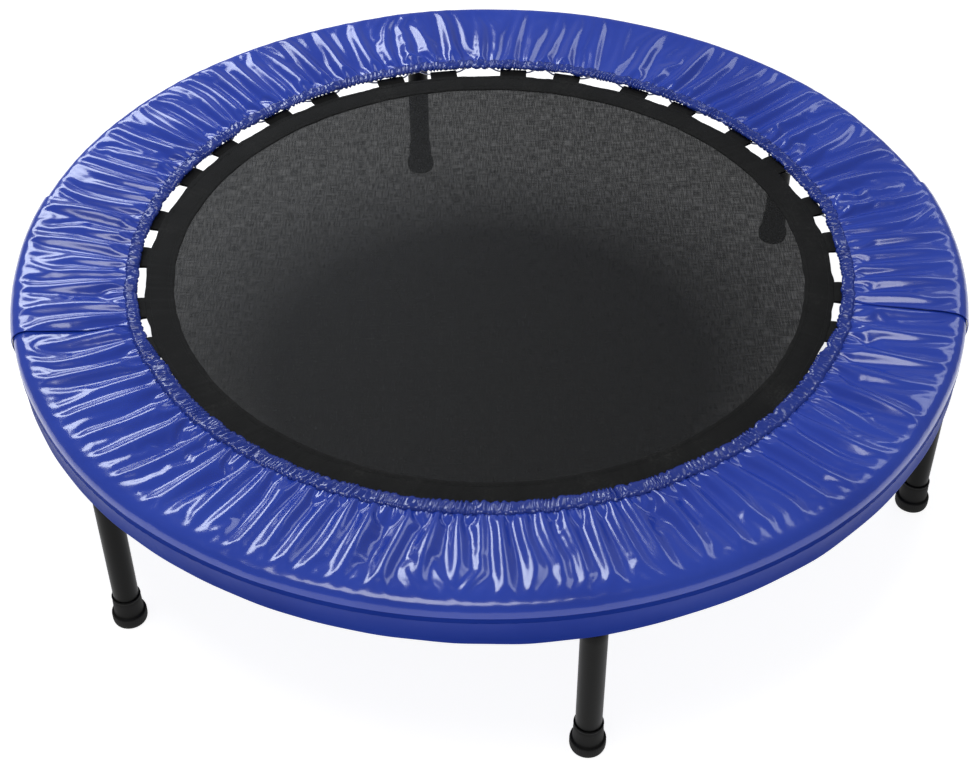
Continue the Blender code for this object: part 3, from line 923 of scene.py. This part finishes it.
def skirt_rows():
    """Radius and height down the skirt, with its lower edge turned under."""
    share = np.linspace(0.0, 1.0, SKIRT_ROWS)
    slack = SKIRT_SLACK * np.sin(math.pi * share)
    radius = RIM_SEAM_RADIUS + (SKIRT_BOTTOM_RADIUS - RIM_SEAM_RADIUS) * share - slack
    height = RIM_SEAM_HEIGHT + (SKIRT_BOTTOM - RIM_SEAM_HEIGHT) * share
    turn = np.radians(np.linspace(20.0, 180.0, 7))
    radius = np.concatenate((radius, radius[-1] - SKIRT_FOLD_RADIUS * (1.0 - np.cos(turn))))
    height = np.concatenate((height, height[-1] - SKIRT_FOLD_RADIUS * np.sin(turn)))
    return radius, height


def make_cover_skirts(finish):
    made = {}
    radius, height = skirt_rows()
    depth = np.clip((height[0] - height) / (height[0] - SKIRT_BOTTOM), 0.0, 1.0)[:, None]
    for side, _, outer, proud in PANELS:
        count = int((outer[1] - outer[0]) / SKIRT_STEP) + 1
        degrees = np.linspace(outer[0], outer[1], count)[None, :]
        out = radius[:, None] + depth * skirt_wave(degrees) + proud * (1.0 - 0.55 * depth)
        out += rim_push(np.radians(degrees)) * (1.0 - depth) ** 1.3
        pucker = (1.0 - depth) * uneven(np.radians(degrees), *SKIRT_PUCKERS)
        points = polar(out + pucker, degrees, height[:, None])
        skirt = sheet_shape(points, COVER_THICKNESS).make("vinyl_skirt_" + side, finish, 80.0)
        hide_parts("cover_skirt_" + side)
        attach(skirt, "frame")
        width = math.radians(outer[1] - outer[0]) * float(radius[0])
        made[side] = (skirt, (width, float(height[0] - SKIRT_BOTTOM) + 0.001))
    return made


def make_hem(finish, thread):
    """Turned-up strip inside the lower edge of the skirt, with its stitches."""
    degrees = degrees_round(HEM_COLUMNS)
    wave = skirt_wave(degrees)
    outer = SKIRT_BOTTOM_RADIUS - COVER_THICKNESS - HEM_GAP
    inner = outer - COVER_THICKNESS
    profile = ((outer, SKIRT_BOTTOM + 0.0004), (outer, HEM_TOP - 0.0002), (outer - 0.0003, HEM_TOP),
               (inner, HEM_TOP - 0.0002), (inner, SKIRT_BOTTOM + 0.0004), (outer - 0.0003, SKIRT_BOTTOM))
    sections = np.stack([polar(radius + wave, degrees, height) for radius, height in profile], axis=1)
    shape = Shape()
    shape.loft(sections, closed=True)
    hem = shape.make("skirt_hem", finish, 50.0)
    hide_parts("cover_hem")
    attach(hem, "frame")
    stitched = Shape()
    spots = degrees_round(HEM_STITCH_COUNT)
    line = polar(inner + skirt_wave(spots), spots, HEM_TOP - 0.0025)
    add_stitches(stitched, line, polar(1.0, spots + 90.0, 0.0), polar(-1.0, spots, 0.0), HEM_STITCH)
    stitches = stitched.make("hem_stitches", thread)
    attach(stitches, "frame")
    return hem, stitches


def add_stitches(shape, middles, along, up, length):
    """One low thread arch at each middle point, five rings of five points each."""
    share = np.linspace(-0.5, 0.5, 5)
    arch = ((1.0 - (2.0 * share) ** 2) * 1.4 - 0.6) * THREAD_RADIUS
    side = np.cross(up, along)
    turns = circle(5)
    sizes = THREAD_RADIUS * np.array((0.45, 0.9, 1.0, 0.9, 0.45))
    points = np.empty((len(middles), 5, 5, 3))
    for row in range(5):
        centre = middles + along * (share[row] * length) + up * arch[row]
        for column in range(5):
            offset = side * math.cos(turns[column]) + up * math.sin(turns[column])
            points[:, row, column] = centre + offset * sizes[row]
    starts = 25 * np.arange(len(middles))[:, None, None]
    sides = (grid_faces(5, 5, False, True)[None] + starts).reshape(-1, 4)
    caps = (np.array((range(4, -1, -1), range(20, 25)))[None] + starts).reshape(-1, 5)
    shape.add(points, sides.tolist() + caps.tolist())


def tunnel_swell(angle, section):
    """How far the tunnel's puckers stand out: wandering, slanted ridges, with finer ones over them."""
    drift = wander(angle, 31, 14, 70)
    tilt = wander(angle, 32, 25, 120)
    phase = PUCKER_COUNT / 2.0 * angle + 3.4 * drift + (1.1 + 0.9 * tilt) * np.cos(section)
    puffs = np.abs(np.sin(phase)) ** 0.8 - 0.60
    phase = FINE_PUCKER_COUNT / 2.0 * angle + 4.0 * tilt + 1.8 * np.cos(section + drift)
    fine = np.abs(np.sin(phase)) - 0.6
    size = TUNNEL_SWELL * (0.85 + 0.30 * drift) * (0.50 + 0.50 * (0.5 - 0.5 * np.cos(section)))
    return size * puffs + TUNNEL_FINE_SWELL * fine


def make_tunnel(cloth, finish, thread):
    """Puckered tunnel along the inner edge: a strip folded round the elastic, sewn to the top panels."""
    count = TUNNEL_COLUMNS
    column = np.arange(count) * cloth.columns / count
    edge = cloth.points[0].astype(float)
    sewn = sampled(edge[None], column[None])[0]
    smooth = sum(np.roll(edge, shift, axis=0) for shift in range(-3, 4)) / 7.0
    seam = sampled(smooth[None], column[None])[0]
    angle = circle(count)
    half_width = TUNNEL_HALF_WIDTH + TUNNEL_FRONT_EXTRA * plateau(angle, *FRONT_TUCK)
    radius = np.hypot(seam[:, 0], seam[:, 1]) - half_width + TUNNEL_OVERLAP
    radius += uneven(angle, *TUNNEL_UNEVEN)
    section = np.radians(np.linspace(354.0, 6.0, 15))[:, None]
    swell = tunnel_swell(angle, section)
    plump = 1.0 + 0.12 * wander(angle, 34, 20, 60)
    out = (half_width + swell) * np.cos(section)
    up = (TUNNEL_HALF_HEIGHT * plump + 1.25 * swell) * np.sin(section)
    joined = np.clip(1.4 * np.cos(section), 0.0, 1.0) ** 2
    free = ELASTIC_HEIGHT + 0.5 * (seam[:, 2] - SEAM_HEIGHT)
    height = free + joined * (sewn[:, 2] + 0.0003 - free)
    points = polar(radius + out, np.degrees(angle), height + up)
    tunnel = sheet_shape(points, COVER_THICKNESS, wrap=True).make("elastic_tunnel", finish, 80.0)
    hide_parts("cover_elastic")
    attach(tunnel, "frame")
    spots = np.arange(0, cloth.columns, 3)
    row = cloth.points[1].astype(float)
    along = unit(row[(spots + 1) % cloth.columns] - row[spots - 1])
    outward = unit(row[spots] * (1.0, 1.0, 0.0))
    stitched = Shape()
    add_stitches(stitched, row[spots], along, unit(np.cross(outward, along)), TUNNEL_STITCH)
    stitches = stitched.make("tunnel_stitches", thread)
    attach(stitches, "frame")
    return tunnel, stitches


# ---------------------------------------------------------------- mat


def pair_angles():
    angles = [FIRST_PAIR_ANGLE]
    for step in range(1, PAIR_COUNT):
        pitch = BACK_PAIR_PITCH if step <= BACK_PAIR_STEPS else FRONT_PAIR_PITCH
        angles.append(angles[-1] + pitch)
    return angles


def loop_angles():
    return [middle + side * LOOP_OFFSET_ANGLE for middle in pair_angles() for side in (-1.0, 1.0)]


def slack_between_loops(degrees):
    """0 at a loop and 1 halfway between two, where the border's edge runs straighter."""
    centres = np.sort(np.array(loop_angles()) % 360.0)
    nearest = np.abs((degrees[:, None] - centres[None, :] + 180.0) % 360.0 - 180.0).min(axis=1)
    return ease((nearest - LOOP_HALF_ANGLE) / 3.2)


def make_mat(finish):
    """Stretched woven disc."""
    radii = np.linspace(0.0, MAT_RADIUS, 30)[1:]
    degrees = degrees_round(MAT_COLUMNS)
    slack = slack_between_loops(degrees)
    ripple = uneven(np.radians(degrees), *MAT_RIPPLE)
    top = MAT_MIDDLE + MAT_HALF_THICKNESS
    bottom = MAT_MIDDLE - MAT_HALF_THICKNESS
    rings = []
    for rows, height in ((radii, top), (radii[::-1], bottom)):
        for radius in rows:
            edge = (radius / MAT_RADIUS) ** 6
            rings.append(polar(radius - 0.0006 * slack * edge, degrees, height + edge * ripple))
    shape = Shape()
    shape.closed_rings(np.stack(rings), (0.0, 0.0, top), (0.0, 0.0, bottom))
    mat = shape.make("mat_mesh_sheet", finish)
    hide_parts("mat")
    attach(mat, "jumping_mat")
    return mat


def make_band(finish):
    """Doubled border tape round the mesh, its outer edge pulled straighter between the loops."""
    degrees = degrees_round(BAND_COLUMNS)
    angle = np.radians(degrees)
    slack = slack_between_loops(degrees)
    middle = (BAND_TOP + BAND_BOTTOM) / 2.0
    half = (BAND_TOP - BAND_BOTTOM) / 2.0
    width = BAND_OUTER_RADIUS - BAND_INNER_RADIUS
    sections = []
    for share, level in BAND_OUTLINE:
        dip = (0.0005 + 0.0007 * share) * slack
        radius = BAND_INNER_RADIUS + width * share - dip + uneven(angle, *BAND_UNEVEN)
        crease = uneven(angle + 0.02 * share, *BAND_CREASE)
        sections.append(polar(radius, degrees, middle + level * half + crease))
    shape = Shape()
    shape.loft(np.stack(sections, axis=1), closed=True)
    band = shape.make("mat_border_band", finish, 60.0)
    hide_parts("mat_border")
    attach(band, "jumping_mat")
    return band


def strap_path():
    """Radius and height of a loop's strap: out from below the border, round the link and back."""
    turn = LOOP_OUTER_RADIUS - STRAP_THICKNESS / 2.0 - STRAP_BEND
    path = [(radius, LINK_HEIGHT + rise) for radius, rise in STRAP_ABOVE]
    for degrees in range(90, -91, -30):
        angle = math.radians(degrees)
        path.append((turn + STRAP_BEND * math.cos(angle), LINK_HEIGHT + STRAP_BEND * math.sin(angle)))
    path += [(radius, LINK_HEIGHT + rise) for radius, rise in STRAP_BELOW]
    path += [(radius, BAND_BOTTOM - STRAP_THICKNESS * 0.6) for radius in STRAP_SEWN_RADII]
    return np.array(path)


def make_loops(finish):
    """Thirty folded webbing loops."""
    path = strap_path()
    normal = path_normals(path)
    half = STRAP_THICKNESS / 2.0
    width = LOOP_HALF_WIDTH
    lower = [(-width, -0.5), (-width + STRAP_EDGE, -1.0), (-width * 0.5, -0.85), (0.0, -1.0),
             (width * 0.5, -0.85), (width - STRAP_EDGE, -1.0), (width, -0.5)]
    outline = lower + [(-side, -level) for side, level in lower]
    draw = np.random.default_rng(47)
    shape = Shape()
    for degrees in loop_angles():
        skew = math.radians(draw.normal(0.0, LOOP_SKEW))
        flat = []
        for side, level in outline:
            place = path + normal * (half * level)
            radial = place[:, 0] + math.sin(skew) * side
            sideways = side + 0.04 * (place[:, 0] - 0.355) * math.sin(37.0 * degrees)
            flat.append(np.stack((radial, sideways, place[:, 1]), axis=-1))
        shape.loft(at_angle(np.stack(flat, axis=1), degrees))
    loops = shape.make("webbing_loops", finish)
    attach(loops, "jumping_mat")
    return loops


def make_mat_stitches(thread):
    """Three stitch rows on the border, and a sewn box with a cross on each loop."""
    shape = Shape()
    for radius, spots in BORDER_STITCH_ROWS:
        degrees = degrees_round(spots)
        line = polar(radius, degrees, BAND_TOP - 0.0001)
        up = np.broadcast_to((0.0, 0.0, 1.0), line.shape)
        add_stitches(shape, line, polar(1.0, degrees + 90.0, 0.0), up, BORDER_STITCH)
    level = BAND_BOTTOM - 1.1 * STRAP_THICKNESS
    box = [(radius, side * BOX_HALF_WIDTH, level) for radius, side in (
        (BOX_INNER_RADIUS, -1.0), (BOX_INNER_RADIUS, 1.0),
        (BOX_OUTER_RADIUS, 1.0), (BOX_OUTER_RADIUS, -1.0))]
    for degrees in loop_angles():
        corners = at_angle(box, degrees)
        for first, second in ((0, 1), (1, 2), (2, 3), (3, 0), (0, 2), (1, 3)):
            way = corners[second] - corners[first]
            count = int(np.linalg.norm(way) / LOOP_STITCH_PITCH)
            share = (np.arange(count) + 0.5) / count
            line = corners[first] + way * share[:, None]
            up = np.broadcast_to((0.0, 0.0, -1.0), line.shape)
            add_stitches(shape, line, np.broadcast_to(unit(way), line.shape), up, LOOP_STITCH)
    stitches = shape.make("mat_stitches", thread)
    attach(stitches, "jumping_mat")
    return stitches


# ---------------------------------------------------------------- springs


def link_path(half_gap, apex_radius):
    """Closed wire link between two loops, bent to a V, in (radius, degrees off the middle)."""
    reach = half_gap + LOOP_HALF_ANGLE * 0.75
    path = []
    for side, ends in ((1.0, (reach, -reach)), (-1.0, (-reach, reach))):
        for share in np.linspace(0.0, 1.0, 25):
            offset = ends[0] + (ends[1] - ends[0]) * share
            slope = ease(1.0 - abs(offset) / half_gap)
            rise = (apex_radius - LINK_FOOT_RADIUS) * (1.0 - (1.0 - slope) ** 1.2)
            path.append((LINK_FOOT_RADIUS + rise + side * LINK_HALF_SPACING, offset))
    return path


def spring_path(apex_radius):
    """Hook, coil and hook as (radius, sideways, height) points."""
    run = SPRING_END_RADIUS - apex_radius

    def axis(radius):
        return LINK_HEIGHT + (SPRING_OUTER_HEIGHT - LINK_HEIGHT) * (radius - apex_radius) / run

    path = []
    for degrees in range(230, -1, -23):
        angle = math.radians(degrees + 90)
        path.append((apex_radius + HOOK_RADIUS * math.cos(angle), 0.0,
                     axis(apex_radius) + HOOK_RADIUS * math.sin(angle)))
    for start, past, above in ((apex_radius, 0.0030, HOOK_RADIUS * 0.7), COIL_LEAD_IN):
        path.append((start + past, 0.0, axis(start) + above))
    size = COIL_RADIUS - SPRING_WIRE_RADIUS
    steps = COIL_TURNS * POINTS_PER_TURN
    for step in range(steps + 1):
        share = step / steps
        angle = 2.0 * math.pi * COIL_TURNS * share
        wide = size * min(1.0, 0.35 + share * COIL_TURNS, 0.35 + (1.0 - share) * COIL_TURNS)
        radius = COIL_START_RADIUS + (COIL_END_RADIUS - COIL_START_RADIUS) * share
        path.append((radius, wide * math.sin(angle), axis(radius) + wide * math.cos(angle)))
    for start, past, above in OUTER_HOOK:
        path.append((start + past, 0.0, axis(start) + above))
    return np.array(path)


def make_spring(name, middle, half_gap, apex_radius, finish):
    shape = Shape()
    shape.tube(at_angle(spring_path(apex_radius), middle), SPRING_WIRE_RADIUS, WIRE_SIDES)
    link = np.array(link_path(half_gap, apex_radius - HOOK_RADIUS + 0.0024))
    wire = polar(link[:, 0], middle + link[:, 1], LINK_HEIGHT)
    shape.tube(wire, LINK_WIRE_RADIUS, WIRE_SIDES, closed=True)
    spring = shape.make(name + "_wire", finish, None)
    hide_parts(name)
    start = polar(COIL_END_RADIUS + 0.004, middle, LINK_HEIGHT)
    end = polar(COIL_START_RADIUS - 0.002, middle, LINK_HEIGHT)
    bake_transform(spring)


def make_springs(finish):
    middles = pair_angles()
    middles.append(middles[0] + 360.0)
    places = []
    for pair in range(PAIR_COUNT):
        narrow = LOOP_OFFSET_ANGLE - LOOP_HALF_ANGLE
        make_spring("spring_%02d" % (pair * 2 + 1), middles[pair], narrow, APEX_NARROW_RADIUS, finish)
        half_pitch = (middles[pair + 1] - middles[pair]) / 2.0
        wide = half_pitch - LOOP_OFFSET_ANGLE - LOOP_HALF_ANGLE
        middle = middles[pair] + half_pitch
        make_spring("spring_%02d" % (pair * 2 + 2), middle, wide, APEX_WIDE_RADIUS, finish)
        places += [middles[pair], middle]
    return places


# ---------------------------------------------------------------- frame and legs


def tube_ring(degrees, radius):
    """One circle of the frame tube at an angle round the ring."""
    around = circle(TUBE_SIDES)
    return polar(RING_RADIUS + radius * np.cos(around), degrees, RING_HEIGHT + radius * np.sin(around))


def leg_spot(number):
    """Where a leg's axis stands."""
    return polar(LEG_RADIUS_FROM_CENTRE, FIRST_JOINT_ANGLE + (number + 0.5) * SECTION_ANGLE, 0.0)


def make_frame_section(number, spring_places, finish):
    """Curved tube with a plug-in end, a welded leg socket and a rimmed hole for each spring."""
    start = FIRST_JOINT_ANGLE + number * SECTION_ANGLE
    end = start + SECTION_ANGLE - JOINT_GAP_ANGLE
    bore = SPIGOT_RADIUS + EDGE_ROUND
    stations = [(start + SPIGOT_ANGLE + 0.2, bore), (start, bore),
                (start, TUBE_RADIUS - EDGE_ROUND), (start + EDGE_ANGLE, TUBE_RADIUS)]
    stations += [(spot, TUBE_RADIUS) for spot in np.linspace(start + 0.5, end - 0.5, TUBE_STATIONS)]
    stations += [(end - EDGE_ANGLE, TUBE_RADIUS), (end, TUBE_RADIUS - EDGE_ROUND), (end, SPIGOT_RADIUS),
                 (end + SPIGOT_ANGLE - 0.2, SPIGOT_RADIUS), (end + SPIGOT_ANGLE, SPIGOT_RADIUS - 0.0006)]
    shape = Shape()
    shape.loft(np.stack([tube_ring(degrees, radius) for degrees, radius in stations]))
    socket = ((0.0, SOCKET_BORE_TOP), (SOCKET_BORE_RADIUS, SOCKET_BORE_TOP),
              (SOCKET_BORE_RADIUS, SOCKET_BOTTOM + SOCKET_BEVEL),
              (SOCKET_BORE_RADIUS + SOCKET_BEVEL, SOCKET_BOTTOM),
              (SOCKET_RADIUS - SOCKET_ROUND, SOCKET_BOTTOM), (SOCKET_RADIUS, SOCKET_BOTTOM + SOCKET_ROUND),
              (SOCKET_RADIUS, RING_HEIGHT), (0.0, RING_HEIGHT))
    shape.lathe(socket, leg_spot(number), SOCKET_SIDES)
    shape.tube(weld_path(start + SECTION_ANGLE / 2.0), weld_sizes(number), 8, closed=True)
    for middle in spring_places:
        offset = (middle - start) % 360.0
        if offset < SECTION_ANGLE:
            shape.tube(hole_rim(middle), HOLE_RIM_RADIUS, 6, closed=True)
    section = shape.make("steel_section_%d" % (number + 1), finish, 35.0)
    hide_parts("frame_section_%d" % (number + 1))
    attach(section, "frame")


def weld_path(middle):
    """Where the socket meets the tube, a saddle when seen from the side."""
    angle = circle(WELD_POINTS)
    out = LEG_RADIUS_FROM_CENTRE + SOCKET_RADIUS * np.cos(angle)
    drop = np.sqrt(np.maximum(TUBE_RADIUS ** 2 - (out - RING_RADIUS) ** 2, 0.0))
    return at_angle(np.stack((out, SOCKET_RADIUS * np.sin(angle), RING_HEIGHT - drop), axis=-1), middle)


def weld_sizes(number):
    """Bead thickness round the socket, with the ripple of a hand weld."""
    angle = circle(WELD_POINTS)
    ripple = 0.14 * np.abs(np.sin(11.0 * angle + number))
    return WELD_RADIUS * (0.85 + ripple + 0.05 * wander(angle, 50 + number, 2, 6))


def hole_rim(middle):
    """Pressed rim of the hole that a spring hooks into."""
    angle = circle(16)
    height = SPRING_OUTER_HEIGHT + HOLE_LIFT + HOLE_RADIUS * np.sin(angle)
    reach = np.sqrt(TUBE_RADIUS ** 2 - (height - RING_HEIGHT) ** 2)
    local = np.stack((RING_RADIUS - reach, HOLE_RADIUS * np.cos(angle), height), axis=-1)
    return at_angle(local, middle)


def make_leg(number, finish):
    """Screw-in tube leg with its threaded stud."""
    shape = Shape()
    outline = [(0.0, LEG_BOTTOM + 0.0001), (LEG_TUBE_RADIUS - 0.0008, LEG_BOTTOM + 0.0001),
               (LEG_TUBE_RADIUS, LEG_BOTTOM + 0.0009)]
    outline += [(LEG_TUBE_RADIUS, height) for height in np.linspace(0.020, LEG_TOP - 0.012, 8)]
    outline += [(LEG_TUBE_RADIUS, LEG_TOP - 0.0016), (LEG_TUBE_RADIUS - 0.0004, LEG_TOP - 0.0005),
                (LEG_TUBE_RADIUS - 0.0014, LEG_TOP), (STUD_RADIUS + 0.0018, LEG_TOP),
                (STUD_RADIUS + 0.0002, LEG_TOP - 0.0001)]
    stud_start = len(outline)
    outline += [(STUD_RADIUS, height) for height in np.linspace(LEG_TOP + 0.0002, STUD_TOP - 0.0012, 96)]
    outline += [(STUD_RADIUS - 0.0010, STUD_TOP), (0.0, STUD_TOP)]
    first = outline[stud_start][1]
    last = outline[-3][1]

    def thread(radii, heights, angles):
        turn = (heights - LEG_TOP) / THREAD_PITCH - angles / (2.0 * math.pi)
        cut = np.abs((turn % 1.0) - 0.5) * 2.0
        inside = (heights >= first) & (heights <= last)
        return np.where(inside, -THREAD_DEPTH * cut, 0.0)

    shape.lathe(outline, leg_spot(number), LEG_SIDES, thread)
    leg = shape.make("steel_leg_%d" % (number + 1), finish, 38.0)
    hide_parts("leg_%d" % (number + 1))
    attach(leg, "leg_%d_assembly" % (number + 1))


def make_foot(number, finish):
    """Push-on rubber foot: lip, tapered collar, ribbed base and grooved sole."""

    def ribs(radii, heights, angles):
        on_base = (heights > 0.0040) & (heights < 0.0125) & (radii > 0.0165)
        return np.where(on_base, FOOT_RIB_DEPTH * np.cos(FOOT_RIB_COUNT * angles), 0.0)

    shape = Shape()
    shape.lathe(FOOT_OUTLINE, leg_spot(number), FOOT_SIDES, ribs)
    foot = shape.make("rubber_foot_%d" % (number + 1), finish, 40.0)
    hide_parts("foot_%d" % (number + 1))
    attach(foot, "leg_%d_assembly" % (number + 1))


# ---------------------------------------------------------------- studio


def make_floor(finish):
    shape = Shape()
    spots = np.linspace(-FLOOR_HALF_SIZE, FLOOR_HALF_SIZE, 7)
    x, y = np.meshgrid(spots, spots)
    shape.add(np.stack((x, y, np.zeros_like(x)), axis=-1), grid_faces(7, 7, False, False))
    floor = shape.make("studio_floor", finish, None, outward=False)


def add_light(name, place, target, size, energy, colour):
    light = bpy.data.lights.new(name, "AREA")
    light.shape = "RECTANGLE"
    light.size, light.size_y = size
    light.energy = energy
    light.color = colour
    item = bpy.data.objects.new(name, light)
    item.location = place
    item.rotation_euler = (Vector(target) - Vector(place)).to_track_quat("-Z", "Y").to_euler()
    bpy.context.scene.collection.objects.link(item)


def make_studio():
    scene = bpy.context.scene
    scene.view_settings.view_transform = "Standard"
    world = bpy.data.worlds.new("studio")
    world.use_nodes = True
    background = world.node_tree.nodes["Background"]
    background.inputs["Color"].default_value = (1.0, 1.0, 1.0, 1.0)
    background.inputs["Strength"].default_value = WORLD_STRENGTH
    scene.world = world
    for light in LIGHTS:
        add_light(*light)


def make_camera():
    camera = bpy.data.cameras.new("camera")
    camera.lens = CAMERA_LENS
    item = bpy.data.objects.new("camera", camera)
    bpy.context.scene.collection.objects.link(item)
    turn = (Matrix.Rotation(math.radians(CAMERA_TILT), 4, "X")
            @ Matrix.Rotation(math.radians(CAMERA_ROLL), 4, "Z"))
    item.matrix_world = Matrix.Translation(CAMERA_PLACE) @ turn
    bpy.context.scene.camera = item


def build():
    make_camera()
    make_studio()
    make_floor(floor_finish())
    vinyl = vinyl_finish("glossy_vinyl", roughness=(0.14, 0.27), coat=0.4, specular=0.5, depth=1.0)
    # Depth 0.60 darkens this copy's blue: painted shade on the skirt, the hem and the rim.
    satin_shaded_vinyl = vinyl_finish("satin_vinyl_painted_shade", roughness=(0.36, 0.46), coat=0.0, specular=0.02, depth=0.60)
    # Depth 0.66 darkens this copy's blue: painted shade in the tunnel's creases.
    tunnel_vinyl_painted_shade = vinyl_finish("puckered_vinyl_painted_shade", roughness=(0.14, 0.28), coat=0.3, specular=0.45,
                                depth=0.66)
    webbing = webbing_finish()
    black_thread = thread_finish("black_thread", (0.022, 0.022, 0.022))
    blue_thread = thread_finish("blue_thread", (0.014, 0.030, 0.19))
    steel = steel_finish()
    rubber = rubber_finish()
    places = make_springs(zinc_finish())
    for number in range(SECTION_COUNT):
        make_frame_section(number, places, steel)
        make_leg(number, steel)
        make_foot(number, rubber)
    mat = make_mat(mesh_finish())
    band = (make_band(webbing), make_loops(webbing), make_mat_stitches(black_thread))
    cloth = gathered_cloth()
    tops = make_cover_tops(cloth, vinyl, satin_shaded_vinyl)
    skirts = make_cover_skirts(satin_shaded_vinyl)
    tunnel = make_tunnel(cloth, tunnel_vinyl_painted_shade, blue_thread)
    hem = make_hem(satin_shaded_vinyl, blue_thread)


build()
